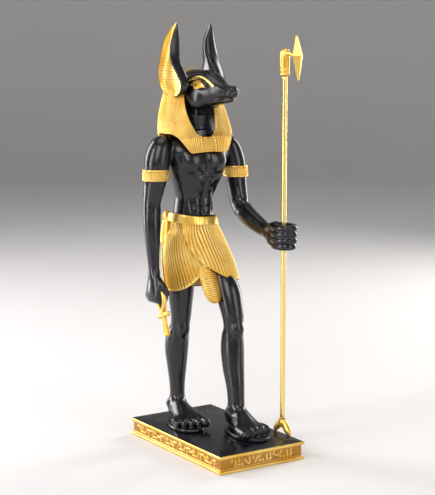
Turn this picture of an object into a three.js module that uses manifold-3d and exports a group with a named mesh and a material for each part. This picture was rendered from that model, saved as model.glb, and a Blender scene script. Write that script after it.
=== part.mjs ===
// A souvenir figurine of a striding jackal-headed guardian: a black and gold figure cast in
// resin, holding an ankh and a long was-sceptre, glued on a rectangular plinth.
// Millimetres, +Z up. The origin is the centre of the plinth's underside, and the figure
// looks towards -Y, with its right hand on the -X side.
import * as THREE from "three";
import { mergeVertices } from "three/addons/utils/BufferGeometryUtils.js";
import Module from "manifold-3d";

const wasm = await Module();
wasm.setup();

// Driving dimensions
const PLINTH_WIDTH = 70;
const PLINTH_LENGTH = 120;
const PLINTH_HEIGHT = 12.5;
const FRIEZE_DEPTH = 1.6; // how far the frieze lies behind the two mouldings
const FRIEZE_LOW = 2.6;
const FRIEZE_HIGH = 9.7;
const STROKE_PITCH = 9; // one stroke of the frieze every 9 mm
const STROKE_PROUD = 0.7;

const GLUE_GAP = 0.3; // clearance between pieces that touch
const PAD_THICKNESS = 2; // cast pad under each foot
const SOLE = PLINTH_HEIGHT + GLUE_GAP + PAD_THICKNESS;

const STAFF_X = 34;
const STAFF_Y = -35;
const STAFF_RADIUS = 1.8;
const STAFF_FOOT_TOP = 23.2;
const STAFF_HEAD_BOTTOM = 264;
const STAFF_HEAD_TOP = 282;

const BELT_TOP = 163.5;
const BELT_BOTTOM = 157;
const BELT_LIFT = 3.3; // the belt rises by this much to the right hip
const BAND_MIDDLE = 194.5; // height of the two armbands
const BAND_HEIGHT = 8;

const WIG_STRIPES = 24;
const WIG_RELIEF = 0.55;
const KILT_PLEATS = 28;
const KILT_RELIEF = 0.45;
const TAB_RIBS = 9;

const HEAD_TURN = THREE.MathUtils.degToRad(8); // the head looks slightly to its left
const HEAD_AXIS_Y = 22; // the neck's axis, about which the head turns

const BLACK = { color: 0x0b0a0c, roughness: 0.32, metalness: 0 };
const GOLD = { color: 0xc8962e, roughness: 0.38, metalness: 0.75 };
const ROD = { color: 0xd0a850, roughness: 0.25, metalness: 0.9 };

const X = new THREE.Vector3(1, 0, 0);
const Y = new THREE.Vector3(0, 1, 0);
const UP = new THREE.Vector3(0, 0, 1);
const TURN = 2 * Math.PI;
const { cos, sin, abs, max, min, sign } = Math;

// A closed body as a solid that can be joined and cut
function solid(geometry) {
  const bare = geometry.clone();
  bare.deleteAttribute("normal");
  bare.deleteAttribute("uv");
  const merged = mergeVertices(bare, 1e-4);
  const vertProperties = new Float32Array(merged.getAttribute("position").array);
  const triVerts = new Uint32Array(merged.getIndex().array);
  if (volume(vertProperties, triVerts) < 0) triVerts.reverse();
  return new wasm.Manifold(new wasm.Mesh({ numProp: 3, vertProperties, triVerts }));
}

function volume(points, triangles) {
  const at = (i) => new THREE.Vector3().fromArray(points, 3 * i);
  let total = 0;
  for (let i = 0; i < triangles.length; i += 3) {
    const [a, b, c] = [at(triangles[i]), at(triangles[i + 1]), at(triangles[i + 2])];
    total += a.dot(b.cross(c)) / 6;
  }
  return total;
}

function join(solids) {
  return solids.reduce((whole, next) => whole.add(next));
}

function piece(name, body, finish) {
  const { vertProperties, triVerts } = body.getMesh();
  const geometry = new THREE.BufferGeometry();
  geometry.setAttribute("position", new THREE.BufferAttribute(vertProperties, 3));
  geometry.setIndex(new THREE.BufferAttribute(triVerts, 1));
  geometry.computeVertexNormals();
  const mesh = new THREE.Mesh(geometry, new THREE.MeshStandardMaterial(finish));
  mesh.name = name;
  return mesh;
}

// A closed skin of rings: place(k, row) gives point k of a ring, rows counted upwards
function skin(sides, rows, place) {
  const geometry = new THREE.CylinderGeometry(1, 1, 1, sides, rows);
  const position = geometry.getAttribute("position");
  const middle = (row) => {
    const sum = new THREE.Vector3();
    for (let k = 0; k < sides; k++) sum.add(place(k, row));
    return sum.divideScalar(sides);
  };
  for (let i = 0; i < position.count; i++) {
    const row = Math.round((position.getY(i) + 0.5) * rows);
    const turn = Math.atan2(position.getX(i), position.getZ(i)) / TURN;
    const k = (Math.round(turn * sides) + sides) % sides;
    const onRing = Math.hypot(position.getX(i), position.getZ(i)) > 0.5;
    const point = onRing ? place(k, row) : middle(row);
    position.setXYZ(i, point.x, point.y, point.z);
  }
  return geometry;
}

// A point of a rounded oval; a power of 2 is an ellipse and more is squarer
function oval(angle, a, b, power = 2) {
  const round = (v) => sign(v) * abs(v) ** (2 / power);
  return [a * round(cos(angle)), b * round(sin(angle))];
}

// Level sections [x, y, z, half width, half depth] stacked upwards
function stack(sections, sides, power) {
  return skin(sides, sections.length - 1, (k, row) => {
    const [x, y, z, a, b] = sections[row];
    const [dx, dy] = oval((k / sides) * TURN, a, b, power);
    return new THREE.Vector3(x + dx, y + dy, z);
  });
}

// Sections [x, y, z, half width, half depth] square to the path through them
function limb(sections, sides, front = Y, power = 2) {
  const points = sections.map(([x, y, z]) => new THREE.Vector3(x, y, z));
  const last = points.length - 1;
  return skin(sides, last, (k, row) => {
    const along = points[min(row + 1, last)].clone().sub(points[max(row - 1, 0)]).normalize();
    const side = along.clone().cross(front).normalize();
    const ahead = side.clone().cross(along);
    const [u, v] = oval((k / sides) * TURN, sections[row][3], sections[row][4], power);
    return points[row].clone().addScaledVector(side, u).addScaledVector(ahead, v);
  });
}

// A round finger or toe through [x, y, z, radius], closed by a rounded tip at its far end
function digit(path, sides, front = Y) {
  const [x, y, z, r] = path[path.length - 1];
  const tip = new THREE.Vector3(x, y, z);
  const along = tip.clone().sub(new THREE.Vector3(...path[path.length - 2].slice(0, 3))).normalize();
  const end = tip.addScaledVector(along, 0.75 * r);
  const sections = [...path, [end.x, end.y, end.z, 0.6 * r]].map(([px, py, pz, pr]) => [px, py, pz, pr, pr]);
  return limb(sections, sides, front);
}

function blob([x, y, z], [a, b, c], sides = 12, rings = 8) {
  return new THREE.SphereGeometry(1, sides, rings).rotateX(TURN / 4).scale(a, b, c).translate(x, y, z);
}

// Torso, neck and shoulders
function torso() {
  const trunk = [
    [-1.5, 27.3, 160, 16.4, 12],
    [-1.2, 27.2, 170, 14, 11.3],
    [-1, 27, 177, 13.6, 10.8],
    [-0.3, 26.3, 184, 16.2, 11.9],
    [0, 25, 192, 19.4, 13.4],
    [0, 23.8, 201, 22, 14.2],
    [0, 23.5, 211, 24, 13],
    [0, 25, 218, 22, 10.5],
    [0, 26, 224, 15, 9.5],
  ];
  const neck = [
    [0, 26, 218, 12, 10],
    [0, 25.5, 228, 9.5, 9.5],
    [0.5, 24, 246, 9.5, 10],
  ];
  const chest = [-1, 1].map((side) => blob([side * 7.6, 16.4, 203], [11.8, 8.6, 10], 8, 6));
  return [stack(trunk, 18, 2.4), stack(neck, 8, 2), ...chest].map(solid);
}

function rightArm() {
  const arm = [
    [-26, 25.2, 219, 3, 4],
    [-29.8, 24.6, 213.6, 7.4, 8.4],
    [-32.2, 24.5, 204, 8.9, 9.4],
    [-33, 25, 194, 8.2, 8.6],
    [-34.4, 26, 183, 7, 7.4],
    [-35.6, 26.6, 173, 6.1, 6.4],
    [-36.5, 25, 158, 5.8, 6.2],
    [-36.6, 23.2, 136, 4.2, 4.6],
    [-36.4, 22.4, 124, 3.5, 4.1],
  ].reverse();
  return [solid(limb(arm, 10))];
}

function rightFist() {
  const palm = [
    [-36.5, 22.3, 126, 3.5, 4.2],
    [-37.4, 21.3, 119, 3.4, 7.2],
    [-38.4, 20.6, 112, 3, 8.4],
    [-38.4, 20.6, 107.5, 2.2, 7.8],
  ].reverse();
  const fingers = [0, 1, 2, 3].map((k) => {
    const y = 27.4 - 4.3 * k;
    return digit([
      [-38.2, y, 109.5, 2.4],
      [-36.4, y, 106.6, 2.4],
      [-33.2, y, 107, 2.3],
      [-31.8, y, 111.6, 2.1],
    ], 6);
  });
  const thumb = digit([
    [-36, 17.5, 121, 2.8],
    [-34.6, 12.8, 116.5, 2.5],
    [-32.6, 11.4, 112.4, 2.1],
  ], 6, X);
  return [limb(palm, 8), ...fingers, thumb].map(solid);
}

function leftArm() {
  const upper = [
    [25.5, 26, 217.5, 3, 4],
    [29.3, 26.2, 211.8, 7.2, 8],
    [31.9, 25.6, 202.5, 8.4, 9],
    [33, 24.2, 194, 7.8, 8.6],
    [33.4, 22.4, 183, 7, 7.8],
    [33.4, 19.6, 174, 6.4, 7.4],
    [33, 15.6, 167.5, 5.6, 6.4],
  ].reverse();
  const fore = [
    [33.2, 21.5, 170.5, 4.4, 4.6],
    [33, 15.5, 167.5, 6, 6.8],
    [32.8, 6, 162.6, 6.2, 7],
    [33, -4, 158.6, 5.6, 6.4],
    [33.4, -13, 155.6, 4.6, 5.7],
    [34, -20, 154, 4.4, 6],
  ];
  return [solid(limb(upper, 10)), solid(limb(fore, 10))];
}

// The left hand closes round the staff: fingers run round its outer side to the inner side
function leftFist() {
  const palm = [
    [33.9, -18, 154.2, 4.3, 6],
    [36.6, -24, 153.8, 4, 8.2],
    [39.4, -31, 153.2, 3, 8.8],
    [40.4, -36, 153, 2.2, 8.4],
  ];
  const heel = blob([31.2, -26, 150.5], [3.6, 6.5, 5.2], 6, 5);
  const reach = [25, -25, -75, -125, -170, -205].map((d) => THREE.MathUtils.degToRad(d));
  const fingers = [0, 1, 2, 3].map((k) => {
    const radius = k === 3 ? 6 : 6.6;
    const path = reach.map((angle) => [
      STAFF_X + radius * cos(angle) * 1.02,
      STAFF_Y + radius * sin(angle) * 1.35,
      159.6 - 4.35 * k,
      2.35,
    ]);
    return digit(path, 6, UP);
  });
  const thumb = digit([
    [31.4, -21, 157.4, 3],
    [28.6, -27.5, 159.6, 2.7],
    [28.4, -33.5, 162, 2.2],
  ], 6, X);
  return [limb(palm, 8, UP), heel, ...fingers, thumb].map(solid);
}

function legs() {
  const right = [
    [-11.5, 32.8, 24, 6.4, 7.5],
    [-11.5, 32.8, 33, 5.2, 6],
    [-11.5, 33, 43, 5.6, 6.3],
    [-11.4, 33.4, 54, 6.8, 7.8],
    [-11.3, 33.9, 66, 8.1, 9.2],
    [-11.2, 32.8, 75, 8, 9.2],
    [-11, 29.8, 83, 6.9, 7.4],
    [-10.8, 28.4, 92, 7.2, 7.6],
    [-11, 28, 112, 9.2, 10],
    [-10, 27.4, 142, 9.5, 10.5],
  ];
  const left = [
    [10.5, -11.3, 24, 6.4, 7.8],
    [10.8, -10.8, 34, 5.8, 6.6],
    [11.4, -8.8, 45, 6.3, 7.2],
    [12.2, -5.2, 57, 7.5, 8.3],
    [12.8, -3, 69, 8.1, 9],
    [13.2, -2.4, 78, 7.8, 8.4],
    [13.4, -3.4, 86, 7.1, 7.4],
    [13.4, -1.6, 97, 7.9, 8.3],
    [13, 6, 114, 9.2, 10],
    [10.5, 22, 143, 9.5, 10.5],
  ];
  return [right, left].map((sections) => solid(limb(sections, 10)));
}

// One foot with its pad, drawn pointing along -Y with the ankle over the origin
function foot(side) {
  const arch = [
    [0, 9.6, 6, 2.6, 4.4],
    [0, 6.5, 7.4, 5, 7.2],
    [0, 0, 8.8, 6.2, 9.2],
    [0, -8, 7.2, 7.4, 7.4],
    [side, -15, 5.4, 9.4, 5.6],
    [side, -23, 3.4, 12, 3.8],
  ].reverse();
  const toes = [0, 1, 2, 3, 4].map((k) => {
    const across = side * (10.4 - 5.2 * k);
    const reach = [33.6, 32.8, 31.6, 30, 28][k];
    const radius = k === 0 ? 3.2 : 2.5;
    return digit([
      [across * 0.9, -19, 4, radius],
      [across, -reach + 5.4, 3.4, radius],
      [across, radius - reach, radius * 0.9, radius * 0.96],
    ], 6, X);
  });
  const pad = skin(14, 1, (k, row) => {
    const angle = (k / 14) * TURN;
    const across = (11.8 + 2.6 * cos(angle)) * sin(angle);
    return new THREE.Vector3(across, -12.5 - 23.5 * cos(angle), row ? 0.5 : -PAD_THICKNESS);
  });
  return [limb(arch, 8, UP), ...toes, pad];
}

// Both feet turn a little outwards from a stance that faces slightly to the right
function feet() {
  const floor = solid(new THREE.BoxGeometry(80, 140, 20).translate(0, 0, PLINTH_HEIGHT + GLUE_GAP - 10));
  const places = [[-11.5, 32.8, 1, -11], [10.5, -11.3, -1, -2.5]];
  return places.flatMap(([x, y, side, turn]) => foot(side).map((part) => {
    const placed = part.rotateZ(THREE.MathUtils.degToRad(turn)).translate(x, y, SOLE);
    return solid(placed).subtract(floor);
  }));
}

// The head is drawn looking along -Y with the skull's centre on the Z axis
function placeHead(geometry) {
  return geometry.rotateZ(HEAD_TURN).translate(0, HEAD_AXIS_Y, 0);
}

function head() {
  const skull = [
    [0, 10, 254.5, 9, 9],
    [0, 4, 254.2, 12, 12.4],
    [0, -2, 254, 12.2, 13.3],
    [0, -8, 253.8, 11, 13.2],
    [0, -14, 253.3, 9.4, 11.9],
    [0, -20, 252.3, 7.4, 9.6],
    [0, -26, 251.1, 5.8, 7.3],
    [0, -32, 250.5, 4.9, 6.1],
    [0, -37.5, 250.6, 4.4, 5.7],
    [0, -40.4, 251.2, 3, 4],
  ];
  const nose = blob([0, -37.8, 253], [4.2, 3.6, 3.4], 8, 5);
  const sides = [-1, 1].flatMap((side) => [
    limb([
      [side * 10.2, -1, 259.4, 1.2, 1],
      [side * 9.4, -6, 262.6, 2, 1.6],
      [side * 8.2, -12, 263, 2, 1.6],
      [side * 6.6, -18, 260.6, 1.6, 1.4],
      [side * 5, -24, 256.6, 0.8, 0.8],
    ], 6, UP),
    blob([side * 8.9, -10.6, 256.9], [2.7, 9.6, 3.4], 6, 5),
  ]);
  return [limb(skull, 12, UP, 2.4), nose, ...sides].map((g) => solid(placeHead(g)));
}

// A spoon-shaped ear, hollow on its outer side; rows [z, forward, outward, half depth, belly]
function ear(side) {
  const rows = [
    [248.6, -7.6, 15, 2.6, 2],
    [251, -7.6, 16, 7, 4.4],
    [257, -6.6, 17.8, 10.2, 7],
    [265, -8.2, 20.6, 9, 9.2],
    [273, -8.8, 22.2, 5.8, 10],
    [280, -9.3, 21.8, 4.4, 10.2],
    [288, -8.7, 19.9, 3.4, 8],
    [295, -6.6, 17.6, 2.4, 3.6],
    [300, -4.4, 15.6, 0.3, 0.4],
  ];
  const sides = 10;
  return skin(sides, rows.length - 1, (k, row) => {
    const [z, forward, outward, half, belly] = rows[row];
    const angle = (k / sides) * TURN;
    const inward = sin(angle);
    const dish = inward > 0 ? inward ** 0.8 : -0.4 * inward;
    const lean = inward > 0 ? 0.7 * half * inward : 0;
    return new THREE.Vector3(side * (outward - belly * dish), -(forward + half * cos(angle) + lean), z);
  });
}

function ears() {
  return [-1, 1].map((side) => solid(placeHead(ear(side))));
}

// Striped headcloth: rows [z, front, back, half width, power]; its hem is lifted over the shoulders
const WIG_ROWS = [
  [209, 5.2, 40, 23, 3],
  [216.5, 6, 44, 25.6, 2.8],
  [224, 8, 46.6, 26.6, 2.6],
  [236, 12, 48.2, 25, 2.4],
  [251, 16.6, 47.2, 20.2, 2.4],
  [260, 19.2, 44, 15.4, 2.4],
  [265.4, 23, 39.4, 10.4, 2.2],
  [267.6, 27, 34.5, 4, 2],
];
const WIG_SHOULDER = 223;

function wig() {
  const sides = 2 * WIG_STRIPES;
  const bottom = WIG_ROWS[0][0];
  const cloth = skin(sides, WIG_ROWS.length - 1, (k, row) => {
    const [z, front, back, half, power] = WIG_ROWS[row];
    const angle = (k / sides) * TURN;
    const groove = k % 2 ? WIG_RELIEF * min(1, half / 14) : 0;
    const depth = (back - front) / 2;
    const [x, y] = oval(angle, half - groove, depth - groove, power);
    const lift = (WIG_SHOULDER - bottom) * smooth((cos(angle) ** 2 - 0.45) / 0.5);
    const raised = z + lift * max(0, (WIG_ROWS[2][0] - z) / (WIG_ROWS[2][0] - bottom));
    return new THREE.Vector3(x + 0.6, (front + back) / 2 + y, raised);
  });
  const opening = stack([
    [-1.8, 8, 220.5, 4, 5],
    [-2, 8, 225, 8, 10],
    [-3, 8, 243, 12.6, 14.5],
    [-3, 8, 270, 13, 16],
  ], 10, 2.4);
  return solid(cloth).subtract(solid(opening));
}

function smooth(t) {
  const s = min(1, max(0, t));
  return s * s * (3 - 2 * s);
}

// Kilt sections follow both thighs: [z, x, y, half length, half depth, turn in degrees]
const KILT_ROWS = [
  [BELT_TOP, -1.5, 27.2, 16.8, 12.6, 0],
  [BELT_BOTTOM - 1, -1.2, 27, 18, 13.4, -4],
  [150, -1.4, 26.4, 21, 13.8, -12],
  [140, -1, 24.3, 24, 13.8, -22],
  [130, -0.2, 21.6, 25.8, 13.2, -30],
  [118, 0.7, 18.8, 26.7, 12.6, -36],
  [106, 1.4, 16.4, 26.8, 12.2, -39],
];
const WRAP_TOP = -145; // bearing in degrees of the lap's edge at the belt and at the hem
const WRAP_LOW = -116;
const WRAP_DEPTH = 1.2;
const HEM_PEAK = 131;

// A point of the kilt in the given bearing, in degrees from +X, so that its pleats hang straight
function kiltPoint(bearing, z, proud) {
  const upper = KILT_ROWS.findIndex((row, i) => i === KILT_ROWS.length - 2 || KILT_ROWS[i + 1][0] <= z);
  const [high, low] = [KILT_ROWS[upper], KILT_ROWS[upper + 1]];
  const t = (high[0] - z) / (high[0] - low[0]);
  const [, x, y, a, b, turn] = high.map((value, i) => value + t * (low[i] - value));
  const [u, v] = oval(THREE.MathUtils.degToRad(bearing - turn), a + proud, b + proud, 2.3);
  const swing = THREE.MathUtils.degToRad(turn);
  return new THREE.Vector3(x + u * cos(swing) - v * sin(swing), y + u * sin(swing) + v * cos(swing), z);
}

// The hem climbs from the right side to where the panels cross, then falls to the left side
function hemHeight(bearing) {
  const around = bearing > 165 ? bearing - 360 : bearing;
  if (around < WRAP_LOW) return 111 + (HEM_PEAK - 111) * ((around + 195) / 79) ** 3.2;
  if (around < -61) return 119.8 + (HEM_PEAK - 119.8) * ((-61 - around) / 55) ** 1.9;
  return 111 + 8.8 * (1 - smooth((around + 61) / 130));
}

function beltLift(bearing) {
  return BELT_LIFT * sin(THREE.MathUtils.degToRad(bearing / 2)) ** 4;
}

function kilt() {
  const sides = 2 * KILT_PLEATS;
  const rows = 4;
  const skirt = skin(sides, rows, (k, row) => {
    const bearing = (k / sides) * 360 - 195;
    const hem = hemHeight(bearing);
    const z = hem + ((BELT_BOTTOM + beltLift(bearing) + 0.5 - hem) * row) / rows;
    return kiltPoint(bearing, z, k % 2 ? -KILT_RELIEF : 0);
  });
  const belt = skin(18, 1, (k, row) => {
    const bearing = k * 20;
    const rim = kiltPoint(bearing, row ? BELT_TOP : BELT_BOTTOM, 1);
    return rim.setZ(rim.z + beltLift(bearing));
  });
  return [solid(skirt).subtract(lap()), solid(belt)];
}

// What the right panel lies deeper than the left panel that laps over it
function lap() {
  const columns = 14;
  const rows = 4;
  const back = -206; // bearing behind the right hip where the left panel's cloth ends
  const top = BELT_BOTTOM + 4;
  const bottom = 106;
  const slab = new THREE.BoxGeometry(1, 1, 1, columns, rows, 1);
  const position = slab.getAttribute("position");
  for (let i = 0; i < position.count; i++) {
    const across = position.getX(i) + 0.5;
    const down = 0.5 - position.getY(i);
    const edge = WRAP_TOP + (WRAP_LOW - WRAP_TOP) * min(1, 1.8 * down);
    const groove = Math.round(across * columns) % 2 ? KILT_RELIEF : 0;
    const proud = position.getZ(i) > 0 ? 3 : -WRAP_DEPTH - groove;
    const point = kiltPoint(back + (edge - back) * across, top + (bottom - top) * down, proud);
    position.setXYZ(i, point.x, point.y, point.z);
  }
  return solid(slab);
}

// Ribbed tongue that hangs from the kilt between the thighs
function tab() {
  const path = new THREE.CatmullRomCurve3([
    new THREE.Vector3(-0.4, 13, 132),
    new THREE.Vector3(-0.4, 7.5, 124),
    new THREE.Vector3(0, 3, 115),
    new THREE.Vector3(1.4, -0.4, 104),
  ]);
  const rows = 2 * TAB_RIBS;
  const sections = [];
  for (let i = 0; i <= rows; i++) {
    const t = i / rows;
    const p = path.getPoint(t);
    const width = 7.4 * Math.sqrt(max(0.02, 1 - max(0, (t - 0.62) / 0.38) ** 2.4)) * min(1, 0.45 + 2 * t);
    const rib = i % 2 ? 0 : -0.5;
    sections.push([p.x, p.y, p.z, width, 2.3 + rib]);
  }
  return solid(limb(sections, 8, Y, 2.6));
}

function armbands() {
  const half = BAND_HEIGHT / 2;
  const band = (x, y, lean, a, b) => stack([
    [x, y - lean, BAND_MIDDLE - half, a, b],
    [x, y + lean, BAND_MIDDLE + half, a + 0.3, b + 0.3],
  ], 12, 2);
  return [band(-33, 25, -0.4, 9.3, 9.7), band(33, 24.2, 0.8, 8.9, 9.6)].map(solid);
}

// Knot of the belt with its short hanging ends, behind the right hip
function knot() {
  const ends = new THREE.BoxGeometry(3.6, 5.4, 19).rotateY(0.14).translate(-19.2, 36.5, 154.5);
  const loop = blob([-17.8, 36, 163], [2.8, 3.4, 3.4], 6, 5);
  return [ends, loop].map(solid);
}

// Ankh in its own plane: y across, z up from the foot of the stem; grow adds clearance
const ANKH_LENGTH = 34;
function ankhShape(grow) {
  const shape = new THREE.Shape();
  const stem = 1.5 + grow;
  const bar = 1.5 + grow;
  const arm = 6.2 + grow;
  const crossing = 15;
  shape.moveTo(-stem - 0.5, -grow);
  shape.lineTo(stem + 0.5, -grow);
  shape.lineTo(stem, crossing - bar);
  shape.lineTo(arm, crossing - bar - 0.4);
  shape.lineTo(arm, crossing + bar + 0.4);
  shape.lineTo(stem, crossing + bar);
  shape.bezierCurveTo(3, crossing + 5, 5.8 + grow, 25, 5.6 + grow, 28.4);
  shape.absarc(0, 28.4, 5.6 + grow, 0, Math.PI, false);
  shape.bezierCurveTo(-5.8 - grow, 25, -3, crossing + 5, -stem, crossing + bar);
  shape.lineTo(-arm, crossing + bar + 0.4);
  shape.lineTo(-arm, crossing - bar - 0.4);
  shape.lineTo(-stem, crossing - bar);
  shape.closePath();
  const eye = new THREE.Path();
  eye.moveTo(0, 19.6 + 6 * grow);
  eye.bezierCurveTo(1.2, 21, 2.9 - grow, 25.4, 2.9 - grow, 28.4);
  eye.absarc(0, 28.4, 2.9 - grow, 0, Math.PI, false);
  eye.bezierCurveTo(-2.9 + grow, 25.4, -1.2, 21, 0, 19.6 + 6 * grow);
  shape.holes.push(eye);
  return shape;
}

function ankh(grow = 0) {
  const thickness = 3.8 + 2 * grow;
  const body = new THREE.ExtrudeGeometry(ankhShape(grow), {
    depth: thickness,
    bevelEnabled: false,
    curveSegments: 4,
  });
  body.translate(0, 0, -thickness / 2).rotateX(TURN / 4).rotateZ(TURN / 4);
  body.translate(0, 0, -ANKH_LENGTH).rotateX(-0.33).translate(-35.2, 18, 115.5);
  return solid(body);
}

function rodHole() {
  const radius = STAFF_RADIUS + 1.5 * GLUE_GAP;
  const hole = new THREE.CylinderGeometry(radius, radius, 60, 8);
  return solid(hole.rotateX(TURN / 4).translate(STAFF_X, STAFF_Y, 153));
}

function figure() {
  const skinParts = [
    ...torso(),
    ...rightArm(),
    ...rightFist(),
    ...leftArm(),
    ...leftFist(),
    ...legs(),
    ...feet(),
    ...head(),
    ...ears(),
  ];
  const clothParts = [wig(), ...kilt(), tab(), ...armbands(), ...knot()];
  return join([...skinParts, ...clothParts]).subtract(rodHole()).subtract(ankh(GLUE_GAP));
}

// Plinth: a moulding at the top and bottom and a sunk frieze with rows of shallow strokes
function plinth() {
  const profile = [
    [0.4, 0],
    [0, 0.5],
    [0, 1.7],
    [FRIEZE_DEPTH, FRIEZE_LOW],
    [FRIEZE_DEPTH, FRIEZE_HIGH],
    [0.5, FRIEZE_HIGH + 0.6],
    [0, FRIEZE_HIGH + 1.2],
    [0, PLINTH_HEIGHT - 0.7],
    [0.7, PLINTH_HEIGHT],
  ];
  const block = skin(4, profile.length - 1, (k, row) => {
    const [inset, z] = profile[row];
    const [right, back] = [[1, 1], [-1, 1], [-1, -1], [1, -1]][k];
    return new THREE.Vector3(right * (PLINTH_WIDTH / 2 - inset), back * (PLINTH_LENGTH / 2 - inset), z);
  });
  return join([solid(block), ...friezeStrokes()]);
}

function friezeStrokes() {
  const middle = (FRIEZE_LOW + FRIEZE_HIGH) / 2;
  const strokes = [];
  const sides = [
    [PLINTH_LENGTH, PLINTH_WIDTH, 1],
    [PLINTH_LENGTH, PLINTH_WIDTH, 3],
    [PLINTH_WIDTH, PLINTH_LENGTH, 0],
    [PLINTH_WIDTH, PLINTH_LENGTH, 2],
  ];
  for (const [run, across, quarter] of sides) {
    const count = Math.floor((run - 8) / STROKE_PITCH);
    for (let i = 0; i < count; i++) {
      const along = (i - (count - 1) / 2) * STROKE_PITCH;
      const tilt = [0, 0.6, TURN / 4, -0.6, 0][(3 * i + quarter) % 5];
      const length = i % 3 === 1 ? 3 : 4.4;
      const stroke = new THREE.BoxGeometry(1.3, 2 * STROKE_PROUD, length)
        .rotateY(tilt)
        .translate(along, -(across / 2 - FRIEZE_DEPTH), middle + (tilt ? 0 : 0.2))
        .rotateZ((quarter * TURN) / 4);
      strokes.push(solid(stroke));
    }
  }
  return strokes;
}

function staffShaft() {
  const length = STAFF_HEAD_BOTTOM - STAFF_FOOT_TOP - 2 * GLUE_GAP;
  const shaft = new THREE.CylinderGeometry(STAFF_RADIUS, STAFF_RADIUS, length, 12);
  const middle = (STAFF_HEAD_BOTTOM + STAFF_FOOT_TOP) / 2;
  return solid(shaft.rotateX(TURN / 4).translate(STAFF_X, STAFF_Y, middle));
}

// Sceptre head: a round socket, a short bridge and a long four-sided double point before it
function staffHead() {
  const socket = stack([
    [STAFF_X, STAFF_Y, STAFF_HEAD_BOTTOM, 3.3, 3.3],
    [STAFF_X, STAFF_Y, STAFF_HEAD_TOP - 4, 3.45, 3.45],
    [STAFF_X, STAFF_Y - 0.4, STAFF_HEAD_TOP - 1.2, 3, 3],
    [STAFF_X, STAFF_Y - 1, STAFF_HEAD_TOP, 1.6, 1.6],
  ], 12, 2);
  const bridge = limb([
    [STAFF_X, STAFF_Y, STAFF_HEAD_TOP - 3.6, 2.2, 1.8],
    [STAFF_X, STAFF_Y - 7, STAFF_HEAD_TOP - 3.4, 2, 1.6],
    [STAFF_X, STAFF_Y - 14, STAFF_HEAD_TOP - 5, 2, 1.6],
  ], 6, UP);
  const point = skin(4, 2, (k, row) => {
    const [y, z, half] = [[-50.6, 260.7, 0.8], [-49.6, 277.4, 4.4], [-48.4, 290.8, 0.8]][row];
    const angle = (k / 4) * TURN;
    return new THREE.Vector3(STAFF_X + half * cos(angle), y + half * 0.9 * sin(angle), z);
  });
  return join([socket, bridge, point].map(solid));
}

// Sceptre foot: a two-pronged fork that stands on the plinth
function staffFoot() {
  const low = PLINTH_HEIGHT + GLUE_GAP;
  const fork = new THREE.Shape();
  fork.moveTo(-9.4, low);
  fork.lineTo(-4, low);
  fork.quadraticCurveTo(0, low + 5.6, 4, low);
  fork.lineTo(9.4, low);
  fork.quadraticCurveTo(7, low + 6.4, 3.2, low + 8);
  fork.lineTo(2.4, STAFF_FOOT_TOP);
  fork.lineTo(-2.4, STAFF_FOOT_TOP);
  fork.lineTo(-3.2, low + 8);
  fork.quadraticCurveTo(-7, low + 6.4, -9.4, low);
  const body = new THREE.ExtrudeGeometry(fork, { depth: 6.2, bevelEnabled: false, curveSegments: 5 });
  body.translate(0, 0, -3.1).rotateX(TURN / 4).rotateZ(TURN / 4).translate(STAFF_X, STAFF_Y, 0);
  const bulge = limb([
    [STAFF_X, STAFF_Y - 10, low - 1, 0.9, 8],
    [STAFF_X, STAFF_Y - 5, low, 2.6, 9],
    [STAFF_X, STAFF_Y, low, 3.2, 11],
    [STAFF_X, STAFF_Y + 5, low, 2.6, 9],
    [STAFF_X, STAFF_Y + 10, low - 1, 0.9, 8],
  ], 8, UP);
  return solid(body).intersect(solid(bulge));
}

const root = new THREE.Group();
root.add(piece("figure", figure(), BLACK));
root.add(piece("plinth", plinth(), GOLD));
root.add(piece("ankh", ankh(), GOLD));
root.add(piece("staff_shaft", staffShaft(), ROD));
root.add(piece("staff_head", staffHead(), GOLD));
root.add(piece("staff_foot", staffFoot(), GOLD));

export default root;
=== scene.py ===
# Looks of a striding jackal-headed guardian figurine: black and antiqued gold cast resin on a
# gold plinth, with an ankh in the right hand and a long was-sceptre in the left.
# The frame is in metres, and the tables of sections below are in millimetres.
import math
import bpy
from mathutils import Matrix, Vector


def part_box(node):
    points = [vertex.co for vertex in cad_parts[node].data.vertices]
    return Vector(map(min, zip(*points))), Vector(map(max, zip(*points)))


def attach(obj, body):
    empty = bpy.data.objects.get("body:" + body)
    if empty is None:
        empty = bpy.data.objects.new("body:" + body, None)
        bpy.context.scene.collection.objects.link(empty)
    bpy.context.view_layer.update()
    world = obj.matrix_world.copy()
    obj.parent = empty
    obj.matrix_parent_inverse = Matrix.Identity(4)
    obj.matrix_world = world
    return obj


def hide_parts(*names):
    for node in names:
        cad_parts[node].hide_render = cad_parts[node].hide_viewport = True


bl_info = {
    "name": "Jackal-headed guardian figurine",
    "version": (1, 0, 0),
    "blender": (4, 5, 0),
    "location": "3D View > Sidebar > Figurine",
    "description": "Builds the figurine's skin, gilded cloth, plinth and sceptre over its frame",
    "category": "Add Mesh",
}

import bpy
import numpy as np
from bpy.props import FloatProperty, FloatVectorProperty, PointerProperty
from mathutils import Vector

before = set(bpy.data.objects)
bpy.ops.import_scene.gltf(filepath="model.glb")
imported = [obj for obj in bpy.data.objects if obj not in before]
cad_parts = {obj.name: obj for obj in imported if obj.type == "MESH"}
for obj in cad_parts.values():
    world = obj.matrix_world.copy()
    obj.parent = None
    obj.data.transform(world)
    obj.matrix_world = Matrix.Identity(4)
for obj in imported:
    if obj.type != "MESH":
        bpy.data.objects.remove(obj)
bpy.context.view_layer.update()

MM = 0.001
FAR = 20.0  # a distance that is safely outside every form, in mm
X = np.array([1.0, 0, 0])
Y = np.array([0, 1.0, 0])
UP = np.array([0, 0, 1.0])

PLINTH_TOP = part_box("plinth")[1].z / MM
STAFF_X = 34
STAFF_Y = -35


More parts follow.
